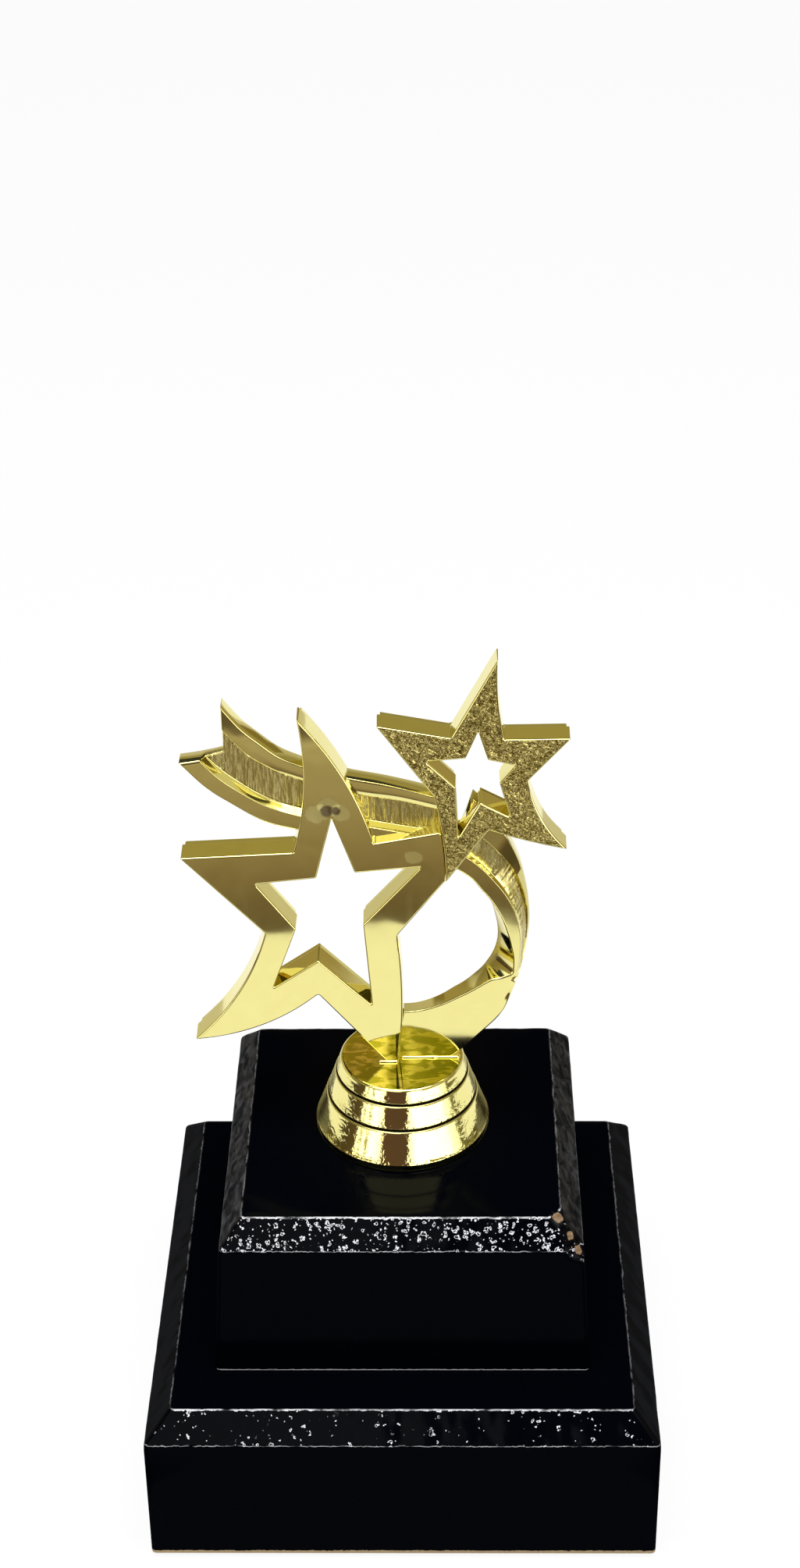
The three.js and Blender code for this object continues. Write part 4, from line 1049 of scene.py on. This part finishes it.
window_way, lamp_way = (0.76, -0.44, 0.48), (-0.429, -0.661, 0.616)


def stage_card(name, corners, faces, shade, hidden_from=()):
    """A plain card for the floor or the room around the trophy, not seen by those kinds of ray."""
    mesh = bpy.data.meshes.new(name)
    mesh.from_pydata([Vector(c) for c in corners], [], faces)
    card = bpy.data.objects.new(name, mesh)
    mesh.materials.append(shade)
    bpy.context.scene.collection.objects.link(card)
    for ray in hidden_from:
        setattr(card, "visible_" + ray, False)


def arc_card(name, shade, reach, rims):
    """A card bent round the trophy, as far as reach degrees to each side of the front, between two
    rims that are each a radius and a height. Only bright metal shows it."""
    turns = np.radians(np.linspace(-reach, reach, 61))
    ring = np.stack([np.sin(turns), -np.cos(turns), 0 * turns], axis=-1)
    corners = np.concatenate([ring * radius + (0, 0, height) for radius, height in rims])
    step = np.arange(60)
    strips = np.stack([step, step + 1, step + 62, step + 61], axis=-1).tolist()
    stage_card(name, corners, strips, shade, ("camera", "diffuse", "shadow", "transmission"))


def ramp_shade(name, stops, place_of, low, high, cover=None):
    """A shade that gives off colours along a ramp, from low to high of a value of its place. Where
    cover of its place is 1 it is plain brown instead."""
    shade, place = start_finish(name)
    share = place.node("MapRange", {}, {0: place_of(place), 1: low, 2: high})
    shown = place.node("ValToRGB", {"stops": stops}, {0: share})
    if cover is not None:
        shown = cover(place).blend(shown, (0.34, 0.27, 0.12))
    glow = place.node("Emission", {}, {"Color": shown, "Strength": 1.0})
    place.node("OutputMaterial", {}, {"Surface": glow})
    return shade


def seen_rays(tree):
    """1 for rays from the camera and rays that metal or glass has turned, 0 for the others."""
    kinds = ("Is Camera Ray", "Is Glossy Ray", "Is Transmission Ray")
    camera_ray, glossy_ray, glass_ray = (tree.node("LightPath", out=kind) for kind in kinds)
    return (camera_ray + glossy_ray + glass_ray).maths("MINIMUM", 1.0)


def table_away(place):
    """Distance from the trophy's axis over the table, a little unsteady."""
    return place.apart((0, 0, 2)) + (place.noise(0.05, 2, 0.5) - 0.5) * 0.012


def turn_of(place):
    """Angle round the trophy in radians, 0 straight in front and more to the right."""
    return place.part(0).maths("ARCTAN2", place.part(1) * -1.0)


def screen_turn(place):
    """The angle round the trophy, made unsteady by upright streaks and by kinks."""
    streaks = place.noise(0.05, 4, 0.0, (1, 1, 0.15)) - 0.5
    kinks = place.noise(0.02, 3, 0.5) - 0.5
    return turn_of(place) + streaks * 0.3 + kinks * 0.12


def screen_cover(place):
    """1 on the screen's upper part, away from its middle, with a gap to each side."""
    turn = abs(turn_of(place))
    aside = turn.between(0.5, 0.65) * turn.until(1.85, 1.95) + turn.between(2.25, 2.4)
    return place.part(2).between(0.115, 0.13) * aside


floor_finish, place = start_finish("pale_floor")
paper = place.node("BsdfDiffuse", {}, {"Color": (0.88, 0.88, 0.87, 1)})
glow = place.node("Emission", {}, {"Color": (1, 1, 1, 1), "Strength": 1.04})
mixed = place.node("MixShader", {}, {0: seen_rays(place) * 0.88, 1: paper, 2: glow})
place.node("OutputMaterial", {}, {"Surface": mixed})
floor = [(x * floor_half, y * floor_half, 0) for x, y in [(-1, -1), (1, -1), (1, 1), (-1, 1)]]
stage_card("floor", floor, [(0, 1, 2, 3)], floor_finish)

table_shade = ramp_shade("table_shade", table_stops, table_away, 0.17, 0.50)
lying_rims = [(near_radius, card_height), (far_radius, card_height)]
arc_card("lying_card", table_shade, lying_reach, lying_rims)
turned = np.radians(close_reach)
close_shade = ramp_shade("inner_shade", close_stops, screen_turn, -turned, turned)
close_rims = [(close_radius, card_height), (near_radius, card_height)]
arc_card("inner_card", close_shade, close_reach, close_rims)
turned = np.radians(screen_reach)
screen_shade = ramp_shade("screen_shade", screen_stops, screen_turn, -turned, turned, screen_cover)
screen_rims = [(screen_radius, 0), (screen_radius, screen_height)]
arc_card("standing_screen", screen_shade, screen_reach, screen_rims)

world = bpy.data.worlds.new("studio")
bpy.context.scene.world = world
world.use_nodes = True
world.node_tree.nodes.clear()
sky = Wire(world.node_tree)
way = sky.node("TexCoord", out=0)
across, away, climb = (way.part(axis) for axis in range(3))
shown = climb.node("ValToRGB", {"stops": sky_stops}, {0: climb})
window = way.vectors("DOT_PRODUCT", window_way, out=1).between(0.80, 0.86)
shown = window.blend(shown, (0.65, 0.6, 0.42))
lamp_glow = way.vectors("DOT_PRODUCT", lamp_way, out=1).between(0.897, 0.905)
shown = lamp_glow.blend(shown, (1.2, 1.2, 1.2))
low_behind = abs(abs(across) - 0.46).until(0.07, 0.12) * away.between(0.6, 0.7)
low_behind = low_behind * climb.between(0.03, 0.07) * climb.until(0.28, 0.34)
shown = low_behind.blend(shown, (0.22, 0.17, 0.05))
patches = (way.noise(0.009, 3, 0.6) * 0.75 + way.noise(0.03) * 0.25).between(0.42, 0.58)
on_leg_side = patches.blend((0.9, 0.75, 0.08), (1.5, 1.45, 1.1))
on_other_side = patches.blend((0.05, 0.06, 0.004), (0.75, 0.68, 0.08))
in_front = across.until(-0.0185, -0.0165).blend(on_other_side, on_leg_side)
behind = patches.blend((0.30, 0.21, 0.07), (0.72, 0.47, 0.06))
gap = abs(across + 0.015).until(0.025, 0.045)
gap = gap * climb.between(0.54, 0.56) * climb.until(0.615, 0.63)
shown = gap.blend(shown, away.between(-0.1, 0.1).blend(in_front, behind))
overhead = (0.1 - away).between(0.0, 0.25) * climb.between(0.78, 0.80)
shown = (overhead * climb.until(0.93, 0.97)).blend(shown, (1.2, 1.15, 1.0))
colour = seen_rays(sky).blend((0.35, 0.35, 0.36), shown)
light = sky.node("Background", {}, {"Color": colour, "Strength": 1.0})
sky.node("OutputWorld", {}, {"Surface": light})

lamp = bpy.data.lights.new("soft_lamp", "AREA")
lamp.shape = "RECTANGLE"
lamp.size, lamp.size_y = 1.1, 0.8
lamp.energy = 15.0
soft_lamp = bpy.data.objects.new("soft_lamp", lamp)
soft_lamp.location = (0.0, -0.35, 1.3)
soft_lamp.rotation_euler = (-0.25, 0, 0)
bpy.context.scene.collection.objects.link(soft_lamp)
bpy.context.scene.view_settings.view_transform = "Standard"
